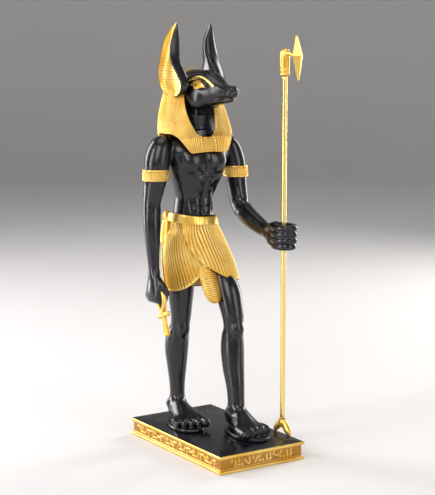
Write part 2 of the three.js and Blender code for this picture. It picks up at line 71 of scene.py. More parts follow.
class FigurineSizes(bpy.types.PropertyGroup):
    skin_pitch: FloatProperty(
        name="Skin grid", description="Grid step of the body's skin", default=0.0006,
        unit="LENGTH", precision=5)
    head_pitch: FloatProperty(
        name="Head grid", description="Grid step of the head's skin", default=0.0004,
        unit="LENGTH", precision=5)
    trim_pitch: FloatProperty(
        name="Trim grid", description="Grid step of the small castings", default=0.0003,
        unit="LENGTH", precision=5)
    stripe_relief: FloatProperty(
        name="Stripe relief", description="Depth between the headcloth's stripes", default=0.00075,
        unit="LENGTH", precision=5)
    pleat_relief: FloatProperty(
        name="Pleat relief", description="Depth between the kilt's pleats", default=0.0006,
        unit="LENGTH", precision=5)
    rib_relief: FloatProperty(
        name="Rib relief", description="Depth between the tab's ribs", default=0.0005,
        unit="LENGTH", precision=5)


class FigurineColours(bpy.types.PropertyGroup):
    black: FloatVectorProperty(
        name="Black", description="Satin-gloss black of the skin", subtype="COLOR",
        default=(0.004, 0.0035, 0.006))
    gold: FloatVectorProperty(
        name="Gold", description="Gold paint on the high places", subtype="COLOR", default=(0.86, 0.5, 0.075))
    pale_gold: FloatVectorProperty(
        name="Pale gold", description="Rubbed gold on the highest places", subtype="COLOR",
        default=(0.97, 0.76, 0.27))
    # The brown serves as antiquing in the grooves and as painted shade on undersides and inner faces.
    wash: FloatVectorProperty(
        name="Wash and shade", description="Brown wash left in the recesses", subtype="COLOR",
        default=(0.33, 0.12, 0.012))
    rod: FloatVectorProperty(
        name="Rod", description="Gold-coloured metal of the sceptre's rod", subtype="COLOR",
        default=(0.93, 0.7, 0.26))
    floor: FloatVectorProperty(
        name="Floor", description="Pale floor of the stage", subtype="COLOR", default=(0.78, 0.77, 0.76))


def sizes():
    return bpy.context.scene.figurine_sizes


def colours():
    return bpy.context.scene.figurine_colours


# Numbers and curves

def smooth(t):
    s = np.clip(t, 0, 1)
    return s * s * (3 - 2 * s)


def unit(v):
    v = np.asarray(v, float)
    return v / np.maximum(np.linalg.norm(v, axis=-1, keepdims=True), 1e-9)


def curve(rows, step=1.0):
    """A smooth curve through rows of numbers, the first three of which are a place, a point every step mm."""
    rows = np.array(rows, float)
    ends = [2 * rows[0] - rows[1], *rows, 2 * rows[-1] - rows[-2]]
    made = []
    for p, q, r, s in zip(ends, ends[1:], ends[2:], ends[3:]):
        count = max(2, int(np.linalg.norm((r - q)[:3]) / step) + 1)
        t = np.arange(count)[:, None] / count
        made.append(0.5 * (2 * q + (r - p) * t + (2 * p - 5 * q + 4 * r - s) * t**2
                           + (3 * q - p - 3 * r + s) * t**3))
    return np.vstack([*made, rows[-1:]])


def lookup(rows, at, key=0):
    """The other columns of a table where its key column has the value at, along a smooth curve."""
    dense = curve(np.array(rows, float), 0.5)
    dense = dense[np.argsort(dense[:, key], kind="stable")]
    return [np.interp(at, dense[:, key], dense[:, i]) for i in range(dense.shape[1]) if i != key]


def oval(angle, a, b, power=2.0):
    c, s = np.cos(angle), np.sin(angle)
    return a * np.sign(c) * np.abs(c) ** (2 / power), b * np.sign(s) * np.abs(s) ** (2 / power)


def ridges(turns, sharp=0.6):
    """A row of rounded ridges with narrow grooves: 1 on a crest and 0 in a groove."""
    return np.abs(np.sin(np.pi * turns)) ** sharp


def oval_distance(u, v, w, a, b, c, power):
    u, v, w = np.abs(u / a), np.abs(v / b), np.abs(w / c)
    if power == 2:
        f = np.sqrt(u * u + v * v + w * w) + 1e-6
        steep = np.sqrt((u / a) ** 2 + (v / b) ** 2 + (w / c) ** 2) / f + 1e-6
    else:
        f = (u**power + v**power + w**power) ** (1 / power) + 1e-6
        steep = np.sqrt((u ** (power - 1) / a) ** 2 + (v ** (power - 1) / b) ** 2
                        + (w ** (power - 1) / c) ** 2) / f ** (power - 1) + 1e-6
    return (f - 1) / steep


class Clay:
    """A grid of distances to a form, to which forms are joined softly and relief is pressed in."""

    def __init__(self, low, high, pitch):
        self.low = np.array(low, float)
        self.pitch = pitch
        self.count = np.ceil((np.array(high, float) - self.low) / pitch).astype(int) + 1
        self.field = np.full(self.count, FAR, np.float32)

    def window(self, low, high):
        first = np.clip(np.floor((np.array(low) - self.low) / self.pitch).astype(int), 0, self.count)
        last = np.clip(np.ceil((np.array(high) - self.low) / self.pitch).astype(int) + 1, 0, self.count)
        cut = tuple(slice(a, b) for a, b in zip(first, last))
        steps = [np.arange(a, b) for a, b in zip(first, last)]
        axes = [(self.low[i] + self.pitch * steps[i]).astype(np.float32) for i in range(3)]
        return cut, np.meshgrid(*axes, indexing="ij", sparse=True)

    def join(self, cut, part, blend):
        old = self.field[cut]
        share = np.clip(0.5 + 0.5 * (old - part) / blend, 0, 1)
        self.field[cut] = old + share * (part - old) - blend * share * (1 - share)

    def lump(self, centre, radii, blend=2.0, turn=0.0, remove=False):
        reach = max(radii) + blend + 1
        cut, (x, y, z) = self.window(np.array(centre) - reach, np.array(centre) + reach)
        c, s = math.cos(math.radians(turn)), math.sin(math.radians(turn))
        dx, dy, dz = x - centre[0], y - centre[1], z - centre[2]
        part = oval_distance(c * dx + s * dy, c * dy - s * dx, dz, *radii, 2)
        if remove:
            self.field[cut] = np.maximum(self.field[cut], -part)
        else:
            self.join(cut, part, blend)

    def limb(self, sections, front=Y, power=2.0, blend=2.0, step=2.0):
        """Joins a limb through sections [x, y, z, half width, half depth] that are square to its path."""
        rows = curve(sections, step)
        widest = rows[:, 3:].max() + blend + 1 + 2 * self.pitch
        whole, _ = self.window(rows[:, :3].min(0) - widest, rows[:, :3].max(0) + widest)
        part = np.full(self.field[whole].shape, FAR, np.float32)
        for p, q in zip(rows, rows[1:]):
            run = (q - p)[:3]
            length = np.linalg.norm(run)
            if length < 1e-6:
                continue
            along = run / length
            side = unit(np.cross(along, front))
            ahead = np.cross(side, along)
            reach = max(p[3:].max(), q[3:].max()) + blend + 1
            near, far = np.minimum(p[:3], q[:3]) - reach, np.maximum(p[:3], q[:3]) + reach
            cut, (x, y, z) = self.window(near, far)
            dx, dy, dz = x - p[0], y - p[1], z - p[2]
            w = dx * along[0] + dy * along[1] + dz * along[2]
            t = np.clip(w / length, 0, 1)
            u = dx * side[0] + dy * side[1] + dz * side[2]
            v = dx * ahead[0] + dy * ahead[1] + dz * ahead[2]
            a = p[3] + t * (q[3] - p[3])
            b = p[4] + t * (q[4] - p[4])
            piece = oval_distance(u, v, w - t * length, a, b, np.minimum(a, b), power)
            inner = tuple(slice(c.start - o.start, c.stop - o.start) for c, o in zip(cut, whole))
            part[inner] = np.minimum(part[inner], piece)
        self.join(whole, part, blend)

    def digit(self, path, blend=0.8, front=Y):
        self.limb([[x, y, z, r, r] for x, y, z, r in path], front, 2.0, blend, 1.0)

    def stack(self, sections, power=2.0, blend=2.0):
        """Joins level sections [x, y, z, half width, half depth] stacked upwards."""
        rows = curve(sections, 1.0)
        reach = rows[:, 3:].max() + blend + 1
        low = rows[:, :3].min(0) - [reach, reach, 1]
        high = rows[:, :3].max(0) + [reach, reach, 1]
        cut, (x, y, z) = self.window(low, high)
        cx, cy, a, b = [np.interp(z, rows[:, 2], rows[:, i]) for i in (0, 1, 3, 4)]
        ends = np.maximum(rows[0, 2] - z, z - rows[-1, 2])
        part = oval_distance(x - cx, y - cy, 0 * z, a, b, 1.0, power)
        self.join(cut, np.maximum(part, ends).astype(np.float32), blend)

    def press(self, points, width, depth, flat=None, keep=None):
        """Sinks a soft groove along a path, or raises a ridge where depth is negative. With flat, the path
        is drawn square to that axis and acts on the part of the form between the two keep values."""
        points = curve([[*p] for p in points], 1.5) if len(points) > 2 else np.array(points, float)
        low, high = points.min(0) - 3 * width, points.max(0) + 3 * width
        if flat is not None:
            low[flat], high[flat] = keep
        cut, axes = self.window(low, high)
        nearest = None
        for p, q in zip(points, points[1:]):
            run = q - p
            if flat is not None:
                run[flat] = 0
            length = max(run @ run, 1e-9)
            offset = [axes[i] - p[i] if i != flat else 0 * axes[i] for i in range(3)]
            t = np.clip((offset[0] * run[0] + offset[1] * run[1] + offset[2] * run[2]) / length, 0, 1)
            gap = sum((offset[i] - t * run[i]) ** 2 for i in range(3))
            nearest = gap if nearest is None else np.minimum(nearest, gap)
        self.field[cut] += (depth * np.exp(-nearest / width**2)).astype(np.float32)

    def cut_below(self, z):
        k = int(round((z - self.low[2]) / self.pitch))
        self.field[:, :, :k] = FAR

    def cut_above(self, z):
        k = int(round((z - self.low[2]) / self.pitch))
        self.field[:, :, k:] = FAR

    def skin(self, rounds=8):
        """Points and four-sided faces of the surface where the distance is zero, lightly smoothed."""
        self.field[[0, -1]] = self.field[:, [0, -1]] = self.field[:, :, [0, -1]] = FAR
        field = self.field
        inside = field < 0
        corners = [(i, j, k) for i in (0, 1) for j in (0, 1) for k in (0, 1)]
        size = np.array(field.shape) - 1
        part = {c: inside[c[0]:c[0] + size[0], c[1]:c[1] + size[1], c[2]:c[2] + size[2]] for c in corners}
        some = np.logical_or.reduce(list(part.values()))
        every = np.logical_and.reduce(list(part.values()))
        cells = np.argwhere(some & ~every)
        total, hits = np.zeros((len(cells), 3)), np.zeros(len(cells))
        for c in corners:
            for axis in range(3):
                if c[axis]:
                    continue
                d = tuple(c[i] + (i == axis) for i in range(3))
                f = field[tuple((cells + c).T)]
                g = field[tuple((cells + d).T)]
                crossed = (f < 0) != (g < 0)
                t = np.where(crossed, f / np.where(crossed, f - g, 1), 0)
                place = np.array(c, float) + t[:, None] * np.eye(3)[axis]
                total += place * crossed[:, None]
                hits += crossed
        points = self.low + self.pitch * (cells + total / hits[:, None])
        number = np.full(size, -1, np.int64)
        number[tuple(cells.T)] = np.arange(len(cells))
        quads = []
        for axis in range(3):
            b, c = (axis + 1) % 3, (axis + 2) % 3
            step = np.eye(3, dtype=int)
            ahead = np.roll(inside, -1, axis)
            edges = np.argwhere(inside != ahead)
            edges = edges[(edges[:, axis] < size[axis]) & (edges[:, b] > 0) & (edges[:, c] > 0)]
            around = [edges, edges - step[b], edges - step[b] - step[c], edges - step[c]]
            faces = np.stack([number[tuple(a.T)] for a in around], 1)
            flip = ~inside[tuple(edges.T)]
            faces[flip] = faces[flip][:, ::-1]
            quads.append(faces)
        quads = np.vstack(quads)
        return relax(points, quads, rounds), quads


def relax(points, quads, rounds):
    """Evens out the grid's steps without shrinking the form."""
    ends = np.vstack([quads[:, [i, (i + 1) % 4]] for i in range(4)])
    first, second, size = ends[:, 0], ends[:, 1], len(points)
    count = np.bincount(first, minlength=size) + np.bincount(second, minlength=size)
    for turn in range(2 * rounds):
        total = np.stack([
            np.bincount(first, points[second, i], size) + np.bincount(second, points[first, i], size)
            for i in range(3)], 1)
        mean = total / count[:, None]
        points = points + (0.5 if turn % 2 == 0 else -0.52) * (mean - points)
    return points


# Meshes from grids of points

def ring_skin(grid):
    """Points and faces of a closed skin from rings of points, with a point at the middle of each end."""
    rings, sides, _ = grid.shape
    points = np.vstack([grid.reshape(-1, 3), grid[0].mean(0), grid[-1].mean(0)])
    near = np.arange(rings * sides).reshape(rings, sides)
    far = np.roll(near, -1, 1)
    quads = np.stack([near[:-1], far[:-1], far[1:], near[1:]], -1).reshape(-1, 4)
    foot = np.full(sides, rings * sides)
    caps = np.vstack([np.stack([far[0], near[0], foot], 1), np.stack([near[-1], far[-1], foot + 1], 1)])
    return points, [quads, caps]


def slab(outer, inner, wrap=False):
    """Points and faces of a closed sheet between two grids of the same shape."""
    rows, columns, _ = outer.shape
    points = np.vstack([outer.reshape(-1, 3), inner.reshape(-1, 3)])
    front = np.arange(rows * columns).reshape(rows, columns)
    back = front + rows * columns

    def faces(a, b, c, d):
        return np.stack([a, b, c, d], -1).reshape(-1, 4)

    if wrap:
        front, back = [np.hstack([g, g[:, :1]]) for g in (front, back)]
    quads = [
        faces(front[:-1, :-1], front[:-1, 1:], front[1:, 1:], front[1:, :-1]),
        faces(back[:-1, :-1], back[1:, :-1], back[1:, 1:], back[:-1, 1:]),
        faces(front[0, 1:], front[0, :-1], back[0, :-1], back[0, 1:]),
        faces(front[-1, :-1], front[-1, 1:], back[-1, 1:], back[-1, :-1]),
    ]
    if not wrap:
        quads += [
            faces(front[:-1, 0], front[1:, 0], back[1:, 0], back[:-1, 0]),
            faces(front[1:, -1], front[:-1, -1], back[:-1, -1], back[1:, -1]),
        ]
    return points, [np.vstack(quads)]


def normals(grid, wrap=True):
    """Unit normals of a grid of points whose columns run round an upright form."""
    along = np.gradient(grid, axis=0)
    if wrap:
        across = np.roll(grid, -1, 1) - np.roll(grid, 1, 1)
    else:
        across = np.gradient(grid, axis=1)
    return unit(np.cross(across, along))


def make_piece(name, node, slot, finish, points, faces, **values):
    """A closed piece that stands for a node of the frame. Values are numbers kept on its points."""
    faces = [np.asarray(f) for f in (faces if isinstance(faces, list) else [faces])]
    points = np.asarray(points, float) * MM
    volume = sum(
        np.einsum("ij,ij->i", points[f[:, 0]], np.cross(points[f[:, i]], points[f[:, i + 1]])).sum()
        for f in faces for i in range(1, f.shape[1] - 1))
    if volume < 0:
        faces = [f[:, ::-1] for f in faces]
    mesh = bpy.data.meshes.new(name)
    mesh.vertices.add(len(points))
    mesh.vertices.foreach_set("co", points.astype(np.float32).ravel())
    corners = np.concatenate([f.ravel() for f in faces]).astype(np.int32)
    widths = np.concatenate([np.full(len(f), f.shape[1]) for f in faces])
    mesh.loops.add(len(corners))
    mesh.loops.foreach_set("vertex_index", corners)
    mesh.polygons.add(len(widths))
    mesh.polygons.foreach_set("loop_start", (np.cumsum(widths) - widths).astype(np.int32))
    mesh.update(calc_edges=True)
    mesh.validate()
    mesh.shade_smooth()
    for label, value in values.items():
        attribute = mesh.attributes.new(label, "FLOAT", "POINT")
        attribute.data.foreach_set("value", np.asarray(value, np.float32).ravel())
    mesh.materials.append(finish)
    piece = bpy.data.objects.new(name, mesh)
    bpy.context.scene.collection.objects.link(piece)
    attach(piece, "root")
    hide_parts(node)
    return piece


# Materials

def link(tree, source, target):
    tree.links.new(source, target)


def add_node(tree, kind, **settings):
    made = tree.nodes.new(kind)
    for key, value in settings.items():
        if key.startswith("in_"):
            name = key[3:].replace("_", " ")
            made.inputs[int(name) if name.isdigit() else name].default_value = value
        else:
            setattr(made, key, value)
    return made


def new_group(name, inputs, outputs):
    group = bpy.data.node_groups.new(name, "ShaderNodeTree")
    for label, kind, value in inputs:
        socket = group.interface.new_socket(label, in_out="INPUT", socket_type=kind)
        socket.default_value = value
    for label, kind in outputs:
        group.interface.new_socket(label, in_out="OUTPUT", socket_type=kind)
    return group, group.nodes.new("NodeGroupInput"), group.nodes.new("NodeGroupOutput")


def paint_mottle():
    """Uneven hand-brushed paint: a value that drifts softly over the surface, and a finer one."""
    group, given, out = new_group(
        "paint_mottle",
        [("Broad scale", "NodeSocketFloat", 60.0), ("Fine scale", "NodeSocketFloat", 900.0)],
        [("Broad", "NodeSocketFloat"), ("Fine", "NodeSocketFloat")])
    place = group.nodes.new("ShaderNodeTexCoord")
    for label, detail in (("Broad", 2.0), ("Fine", 3.0)):
        noise = add_node(group, "ShaderNodeTexNoise", in_Detail=detail, in_Roughness=0.55)
        link(group, place.outputs["Object"], noise.inputs["Vector"])
        link(group, given.outputs[label + " scale"], noise.inputs["Scale"])
        link(group, noise.outputs["Fac"], out.inputs[label])
    return group


def antique_gold():
    """Gold paint, paler in broad random patches, and brown by a value kept on the surface's points: antiquing
    in the grooves, and painted shade on undersides and inner faces set fully brown.
    """
    group, given, out = new_group(
        "antique_gold",
        [("Wash and shade", "NodeSocketFloat", 0.0), ("Strength", "NodeSocketFloat", 0.8),
         ("Gold", "NodeSocketColor", (*colours().gold, 1)),
         ("Pale gold", "NodeSocketColor", (*colours().pale_gold, 1)),
         ("Wash colour", "NodeSocketColor", (*colours().wash, 1))],
        [("Colour", "NodeSocketColor"), ("Roughness", "NodeSocketFloat"), ("Height", "NodeSocketFloat")])
    mottle = add_node(group, "ShaderNodeGroup", node_tree=bpy.data.node_groups["paint_mottle"])
    patch = add_node(
        group, "ShaderNodeMapRange", in_From_Min=0.35, in_From_Max=0.7, in_To_Min=0.0, in_To_Max=0.75)
    link(group, mottle.outputs["Broad"], patch.inputs["Value"])
    rubbed = add_node(group, "ShaderNodeMix", data_type="RGBA")
    link(group, patch.outputs["Result"], rubbed.inputs["Factor"])
    link(group, given.outputs["Gold"], rubbed.inputs["A"])
    link(group, given.outputs["Pale gold"], rubbed.inputs["B"])
    uneven = add_node(group, "ShaderNodeMath", operation="MULTIPLY_ADD", in_1=0.7, in_2=-0.4)
    link(group, mottle.outputs["Fine"], uneven.inputs[0])
    amount = add_node(group, "ShaderNodeMath", operation="ADD")
    link(group, given.outputs["Wash and shade"], amount.inputs[0])
    link(group, uneven.outputs[0], amount.inputs[1])
    kept = add_node(group, "ShaderNodeMath", operation="MULTIPLY", use_clamp=True)
    link(group, amount.outputs[0], kept.inputs[0])
    link(group, given.outputs["Strength"], kept.inputs[1])
    # Mixes in the brown: antiquing in the grooves, and painted shade where a surface is set fully brown.
    washed = add_node(group, "ShaderNodeMix", data_type="RGBA")
    link(group, kept.outputs[0], washed.inputs["Factor"])
    link(group, rubbed.outputs["Result"], washed.inputs["A"])
    link(group, given.outputs["Wash colour"], washed.inputs["B"])
    rough = add_node(group, "ShaderNodeMapRange", in_To_Min=0.3, in_To_Max=0.6)
    link(group, kept.outputs[0], rough.inputs["Value"])
    link(group, washed.outputs["Result"], out.inputs["Colour"])
    link(group, rough.outputs["Result"], out.inputs["Roughness"])
    link(group, mottle.outputs["Fine"], out.inputs["Height"])
    return group


def new_material(name):
    material = bpy.data.materials.new(name)
    material.use_nodes = True
    return material, material.node_tree, material.node_tree.nodes["Principled BSDF"]


def add_bump(tree, height, shader, depth):
    bump = add_node(tree, "ShaderNodeBump", in_Strength=0.4, in_Distance=depth * MM)
    link(tree, height, bump.inputs["Height"])
    link(tree, bump.outputs["Normal"], shader.inputs["Normal"])


def black_and_gold_material(name):
    """Satin-gloss black, gilded where the gilding value of the surface, in mm, is above zero."""
    material, tree, shader = new_material(name)
    mottle = add_node(tree, "ShaderNodeGroup", node_tree=bpy.data.node_groups["paint_mottle"])
    gold = add_node(tree, "ShaderNodeGroup", node_tree=bpy.data.node_groups["antique_gold"])
    wash = add_node(tree, "ShaderNodeAttribute", attribute_name="wash")
    link(tree, wash.outputs["Fac"], gold.inputs["Wash and shade"])
    gilding = add_node(tree, "ShaderNodeAttribute", attribute_name="gilding")
    mask = add_node(tree, "ShaderNodeMapRange", in_From_Min=-0.08, in_From_Max=0.08)
    link(tree, gilding.outputs["Fac"], mask.inputs["Value"])
    tone = add_node(tree, "ShaderNodeMix", data_type="RGBA")
    tone.inputs["A"].default_value = (*colours().black, 1)
    link(tree, mask.outputs["Result"], tone.inputs["Factor"])
    link(tree, gold.outputs["Colour"], tone.inputs["B"])
    gloss = add_node(
        tree, "ShaderNodeMapRange", in_From_Min=0.3, in_From_Max=0.7, in_To_Min=0.2, in_To_Max=0.3)
    link(tree, mottle.outputs["Broad"], gloss.inputs["Value"])
    rough = add_node(tree, "ShaderNodeMix", data_type="FLOAT")
    link(tree, mask.outputs["Result"], rough.inputs["Factor"])
    link(tree, gloss.outputs["Result"], rough.inputs["A"])
    link(tree, gold.outputs["Roughness"], rough.inputs["B"])
    metal = add_node(tree, "ShaderNodeMath", operation="MULTIPLY", in_1=0.75)
    link(tree, mask.outputs["Result"], metal.inputs[0])
    link(tree, tone.outputs["Result"], shader.inputs["Base Color"])
    link(tree, rough.outputs["Result"], shader.inputs["Roughness"])
    link(tree, metal.outputs[0], shader.inputs["Metallic"])
    shader.inputs["Specular IOR Level"].default_value = 0.6
    add_bump(tree, mottle.outputs["Fine"], shader, 0.02)
    return material


def gold_material(name, strength, broad):
    material, tree, shader = new_material(name)
    gold = add_node(
        tree, "ShaderNodeGroup", node_tree=bpy.data.node_groups["antique_gold"], in_Strength=strength)
    wash = add_node(tree, "ShaderNodeAttribute", attribute_name="wash")
    link(tree, wash.outputs["Fac"], gold.inputs["Wash and shade"])
    link(tree, gold.outputs["Colour"], shader.inputs["Base Color"])
    link(tree, gold.outputs["Roughness"], shader.inputs["Roughness"])
    shader.inputs["Metallic"].default_value = 0.75
    add_bump(tree, gold.outputs["Height"], shader, broad)
    return material


def rod_material():
    material, tree, shader = new_material("rod_metal")
    mottle = add_node(tree, "ShaderNodeGroup", node_tree=bpy.data.node_groups["paint_mottle"])
    tone = add_node(tree, "ShaderNodeMix", data_type="RGBA")
    tone.inputs["A"].default_value = (*colours().rod, 1)
    tone.inputs["B"].default_value = (*colours().pale_gold, 1)
    link(tree, mottle.outputs["Broad"], tone.inputs["Factor"])
    link(tree, tone.outputs["Result"], shader.inputs["Base Color"])
    rough = add_node(tree, "ShaderNodeMapRange", in_To_Min=0.2, in_To_Max=0.32)
    link(tree, mottle.outputs["Fine"], rough.inputs["Value"])
    link(tree, rough.outputs["Result"], shader.inputs["Roughness"])
    shader.inputs["Metallic"].default_value = 0.9
    return material


def finish(name):
    return bpy.data.materials[name]


# The body's black skin

TRUNK = [
    [-1.5, 27.3, 150, 14, 9.6],
    [-1.5, 27.3, 160, 15, 10.8],
    [-1.2, 27.2, 170, 14, 11.3],
    [-1, 27, 177, 13.6, 10.8],
    [-0.3, 26.3, 184, 16.2, 11.9],
    [0, 25, 192, 19.4, 13.4],
    [0, 23.8, 201, 22, 14.2],
    [0, 23.5, 211, 24, 13],
    [0, 25, 218, 22, 10.5],
    [0, 26, 224, 15, 9.5],
]
NECK = [
    [0, 26, 218, 12, 10],
    [0, 25.5, 228, 9.5, 9.5],
    [0.5, 24, 246, 9.5, 10],
]
RIGHT_ARM = [
    [-26, 25.2, 219, 3, 4],
    [-29.8, 24.6, 213.6, 7.4, 8.4],
    [-32.2, 24.5, 204, 8.9, 9.4],
    [-33, 25, 194, 8.2, 8.6],
    [-34.4, 26, 183, 7, 7.4],
    [-35.6, 26.6, 173, 6.1, 6.4],
    [-36.5, 25, 158, 5.8, 6.2],
    [-36.6, 23.2, 136, 4.2, 4.6],
    [-36.4, 22.4, 124, 3.5, 4.1],
]
RIGHT_PALM = [
    [-36.5, 22.3, 126, 3.5, 4.2],
    [-37.4, 21.3, 119, 3.4, 7.2],
    [-38.4, 20.6, 112, 3, 8.4],
    [-38.4, 20.6, 107.5, 2.2, 7.8],
]
LEFT_UPPER_ARM = [
    [25.5, 26, 217.5, 3, 4],
    [29.3, 26.2, 211.8, 7.2, 8],
    [31.9, 25.6, 202.5, 8.4, 9],
    [33, 24.2, 194, 7.8, 8.6],
    [33.4, 22.4, 183, 7, 7.8],
    [33.4, 19.6, 174, 6.4, 7.4],
    [33, 15.6, 167.5, 5.6, 6.4],
]
LEFT_FOREARM = [
    [33.2, 21.5, 170.5, 4.4, 4.6],
    [33, 15.5, 167.5, 6, 6.8],
    [32.8, 6, 162.6, 6.2, 7],
    [33, -4, 158.6, 5.6, 6.4],
    [33.4, -13, 155.6, 4.6, 5.7],
    [34, -20, 154, 4.4, 6],
]
LEFT_PALM = [
    [33.9, -18, 154.2, 4.3, 6],
    [36.6, -24, 153.8, 4, 8.2],
    [39.4, -31, 153.2, 3, 8.8],
    [40.4, -36, 153, 2.2, 8.4],
]
RIGHT_LEG = [
    [-11.5, 32.8, 24, 6.4, 7.5],
    [-11.5, 32.8, 33, 5.2, 6],
    [-11.5, 33, 43, 5.6, 6.3],
    [-11.4, 33.4, 54, 6.8, 7.8],
    [-11.3, 33.9, 66, 8.1, 9.2],
    [-11.2, 32.8, 75, 8, 9.2],
    [-11, 29.8, 83, 6.9, 7.4],
    [-10.8, 28.4, 92, 7.2, 7.6],
    [-11, 28, 112, 9.2, 10],
    [-10, 27.4, 130, 9.5, 10.5],
]
LEFT_LEG = [
    [10.5, -11.3, 24, 6.4, 7.8],
    [10.8, -10.8, 34, 5.8, 6.6],
    [11.4, -8.8, 45, 6.3, 7.2],
    [12.2, -5.2, 57, 7.5, 8.3],
    [12.8, -3, 69, 8.1, 9],
    [13.2, -2.4, 78, 7.8, 8.4],
    [13.4, -3.4, 86, 7.1, 7.4],
    [13.4, -1.6, 97, 7.9, 8.3],
    [13, 6, 114, 9, 9.8],
    [10.5, 17.5, 127, 6, 6.5],
]
SOLE = PLINTH_TOP + 2.3  # the soles lie on pads 2 mm thick, glued with a 0.3 mm gap
RIGHT_FOOT = (-11.5, 32.8, 1, -11)  # ankle x, ankle y, side of the big toe, turn in degrees
LEFT_FOOT = (10.5, -11.3, -1, -2.5)


def shape_torso(clay):
    clay.stack(TRUNK, 2.4, 2)
    clay.stack(NECK, 2, 5)
    front, back = (0, 27), (27, 46)
    for side in (-1, 1):
        clay.lump([side * 8, 16.4, 203], [11.4, 8.4, 9.8], 2.2)
        clay.press([[side * 19, 17, 208], [side * 16.5, 14, 197], [side * 8, 8, 193.4], [side * 2, 9, 195]],
                   1.5, 0.55, 1, front)
        clay.press([[side * 4.4, 0, 189], [side * 4.8, 0, 178], [side * 4.4, 0, 166]], 3.1, -0.95, 1, front)
        clay.press([[side * 9.6, 0, 188], [side * 9.6, 0, 177], [side * 8.4, 0, 167]], 1.4, 0.5, 1, front)
        clay.press([[side * 12.8, 20, 182], [side * 12, 19, 173], [side * 13, 19, 165]], 2.6, -0.6)
        for k in range(3):
            clay.press([[side * 15.5, 17 - k, 193 - 5 * k], [side * 13.4, 14.5, 190.4 - 5 * k]], 1.5, -0.4)
        clay.lump([side * 11, 35.5, 205], [8, 4, 9], 4)
        clay.press([[side * 4.4, 0, 190], [side * 4.2, 0, 165]], 2.8, -0.7, 1, back)
    clay.press([[0, 0, 213], [0, 0, 196]], 1.7, 1.3, 1, front)
    clay.press([[0, 0, 191], [-0.6, 0, 166]], 1.0, 0.55, 1, front)
    for z, half in ((184.5, 7.4), (177.4, 7.2), (171, 6.8)):
        across = [[-half - 0.6, 0, z + 0.4], [-0.6, 0, z - 0.5], [half - 0.6, 0, z + 0.4]]
        clay.press(across, 0.9, 0.45, 1, front)
    clay.press([[-9, 0, 165.8], [-1, 0, 167.2], [7.4, 0, 165.8]], 2.8, -0.5, 1, front)
    clay.press([[-0.9, 0, 168.6], [-0.9, 0, 167.8]], 1.0, 1.5, 1, front)
    clay.press([[0, 0, 215], [0, 0, 164]], 1.9, 1.2, 1, back)


def shape_right_arm(clay):
    clay.limb(RIGHT_ARM, Y, 2.0, 2.5)
    clay.press([[-29.6, 16.5, 196], [-31.6, 17, 184], [-33.4, 18.6, 175]], 3.2, -0.8)
    clay.press([[-40.5, 28, 204], [-41.4, 26, 197], [-41.2, 23.6, 190]], 1.5, 0.5)
    clay.press([[-27.8, 30, 192], [-28.6, 31, 185]], 3.0, -0.9)
    clay.press([[-36.5, 33, 171], [-36.6, 32, 164]], 2.4, -0.5)
    clay.press([[-31.6, 21.6, 170], [-31.6, 19.4, 160], [-33.4, 18.6, 146]], 2.2, -0.6)
    clay.press([[-40, 20.4, 168], [-41, 20.6, 156], [-40.2, 19.6, 140]], 1.3, 0.35)


def shape_right_hand(clay):
    clay.limb(RIGHT_PALM, Y, 2.0, 2.0, 1.0)
    for k in range(4):
        y = 27.4 - 4.3 * k
        finger = [[-38.2, y, 110, 2.3], [-36.4, y, 106.6, 2.3], [-33.2, y, 107, 2.25], [-31.8, y, 111.6, 2.0]]
        clay.digit(finger, 0.7)
    clay.digit([[-36, 17.5, 121, 2.8], [-34.6, 12.8, 116.5, 2.5], [-32.6, 11.4, 112.4, 2.1]], 1.2, X)


def shape_left_arm(clay):
    clay.limb(LEFT_UPPER_ARM, Y, 2.0, 2.5)
    clay.limb(LEFT_FOREARM, Y, 2.0, 2.5)
    clay.press([[29, 17, 196], [29, 15.6, 186], [29.6, 14.4, 178]], 3.2, -0.7)
    clay.press([[26.8, 27, 198], [26.6, 26.5, 188]], 2.0, -0.5)
    clay.press([[26.4, 17.5, 173], [27.4, 12, 171.2], [30, 9.6, 170.4]], 1.3, 0.6)
    clay.press([[27, 10, 165], [27.6, 0, 161]], 2.4, -0.4)
    clay.press([[38.5, 12, 167], [38.2, 0, 161.5], [37, -12, 158]], 1.4, 0.4)


def shape_left_hand(clay):
    clay.limb(LEFT_PALM, UP, 2.0, 2.0, 1.0)
    clay.lump([31.2, -26, 150.5], [3.6, 6.5, 5.2], 2)
    for k in range(4):
        radius = 6 if k == 3 else 6.6
        angles = np.radians([25, -25, -75, -125, -170, -205])
        wide, deep, level = 1.02 * radius, 1.35 * radius, 159.6 - 4.35 * k
        finger = [[STAFF_X + wide * math.cos(a), STAFF_Y + deep * math.sin(a), level, 2.3] for a in angles]
        clay.digit(finger, 0.6, UP)
    clay.digit([[31.4, -21, 157.4, 3], [28.6, -27.5, 159.6, 2.7], [28.4, -33.5, 162, 2.2]], 1.2, X)


def shape_leg(clay, sections, knee):
    clay.limb(sections, Y, 2.0, 2.0)
    x, y, z = knee
    clay.lump([x, y - 6.4, z], [4.2, 3, 4.8], 2.5)
    for side in (-1, 1):
        beside = [[x + side * 4.6, y - 5, z + 7], [x + side * 5.2, y - 4.6, z], [x + side * 4, y - 5, z - 6]]
        clay.press(beside, 1.5, 0.5)
    clay.press([[x, y - 8, z - 8], [x + 0.4, y - 8.6, z - 24], [x - 0.2, y - 6.5, z - 44]], 1.4, -0.5)
    clay.press([[x, y + 8, z - 4], [x, y + 9.5, z - 14], [x, y + 8, z - 26]], 1.5, 0.35)


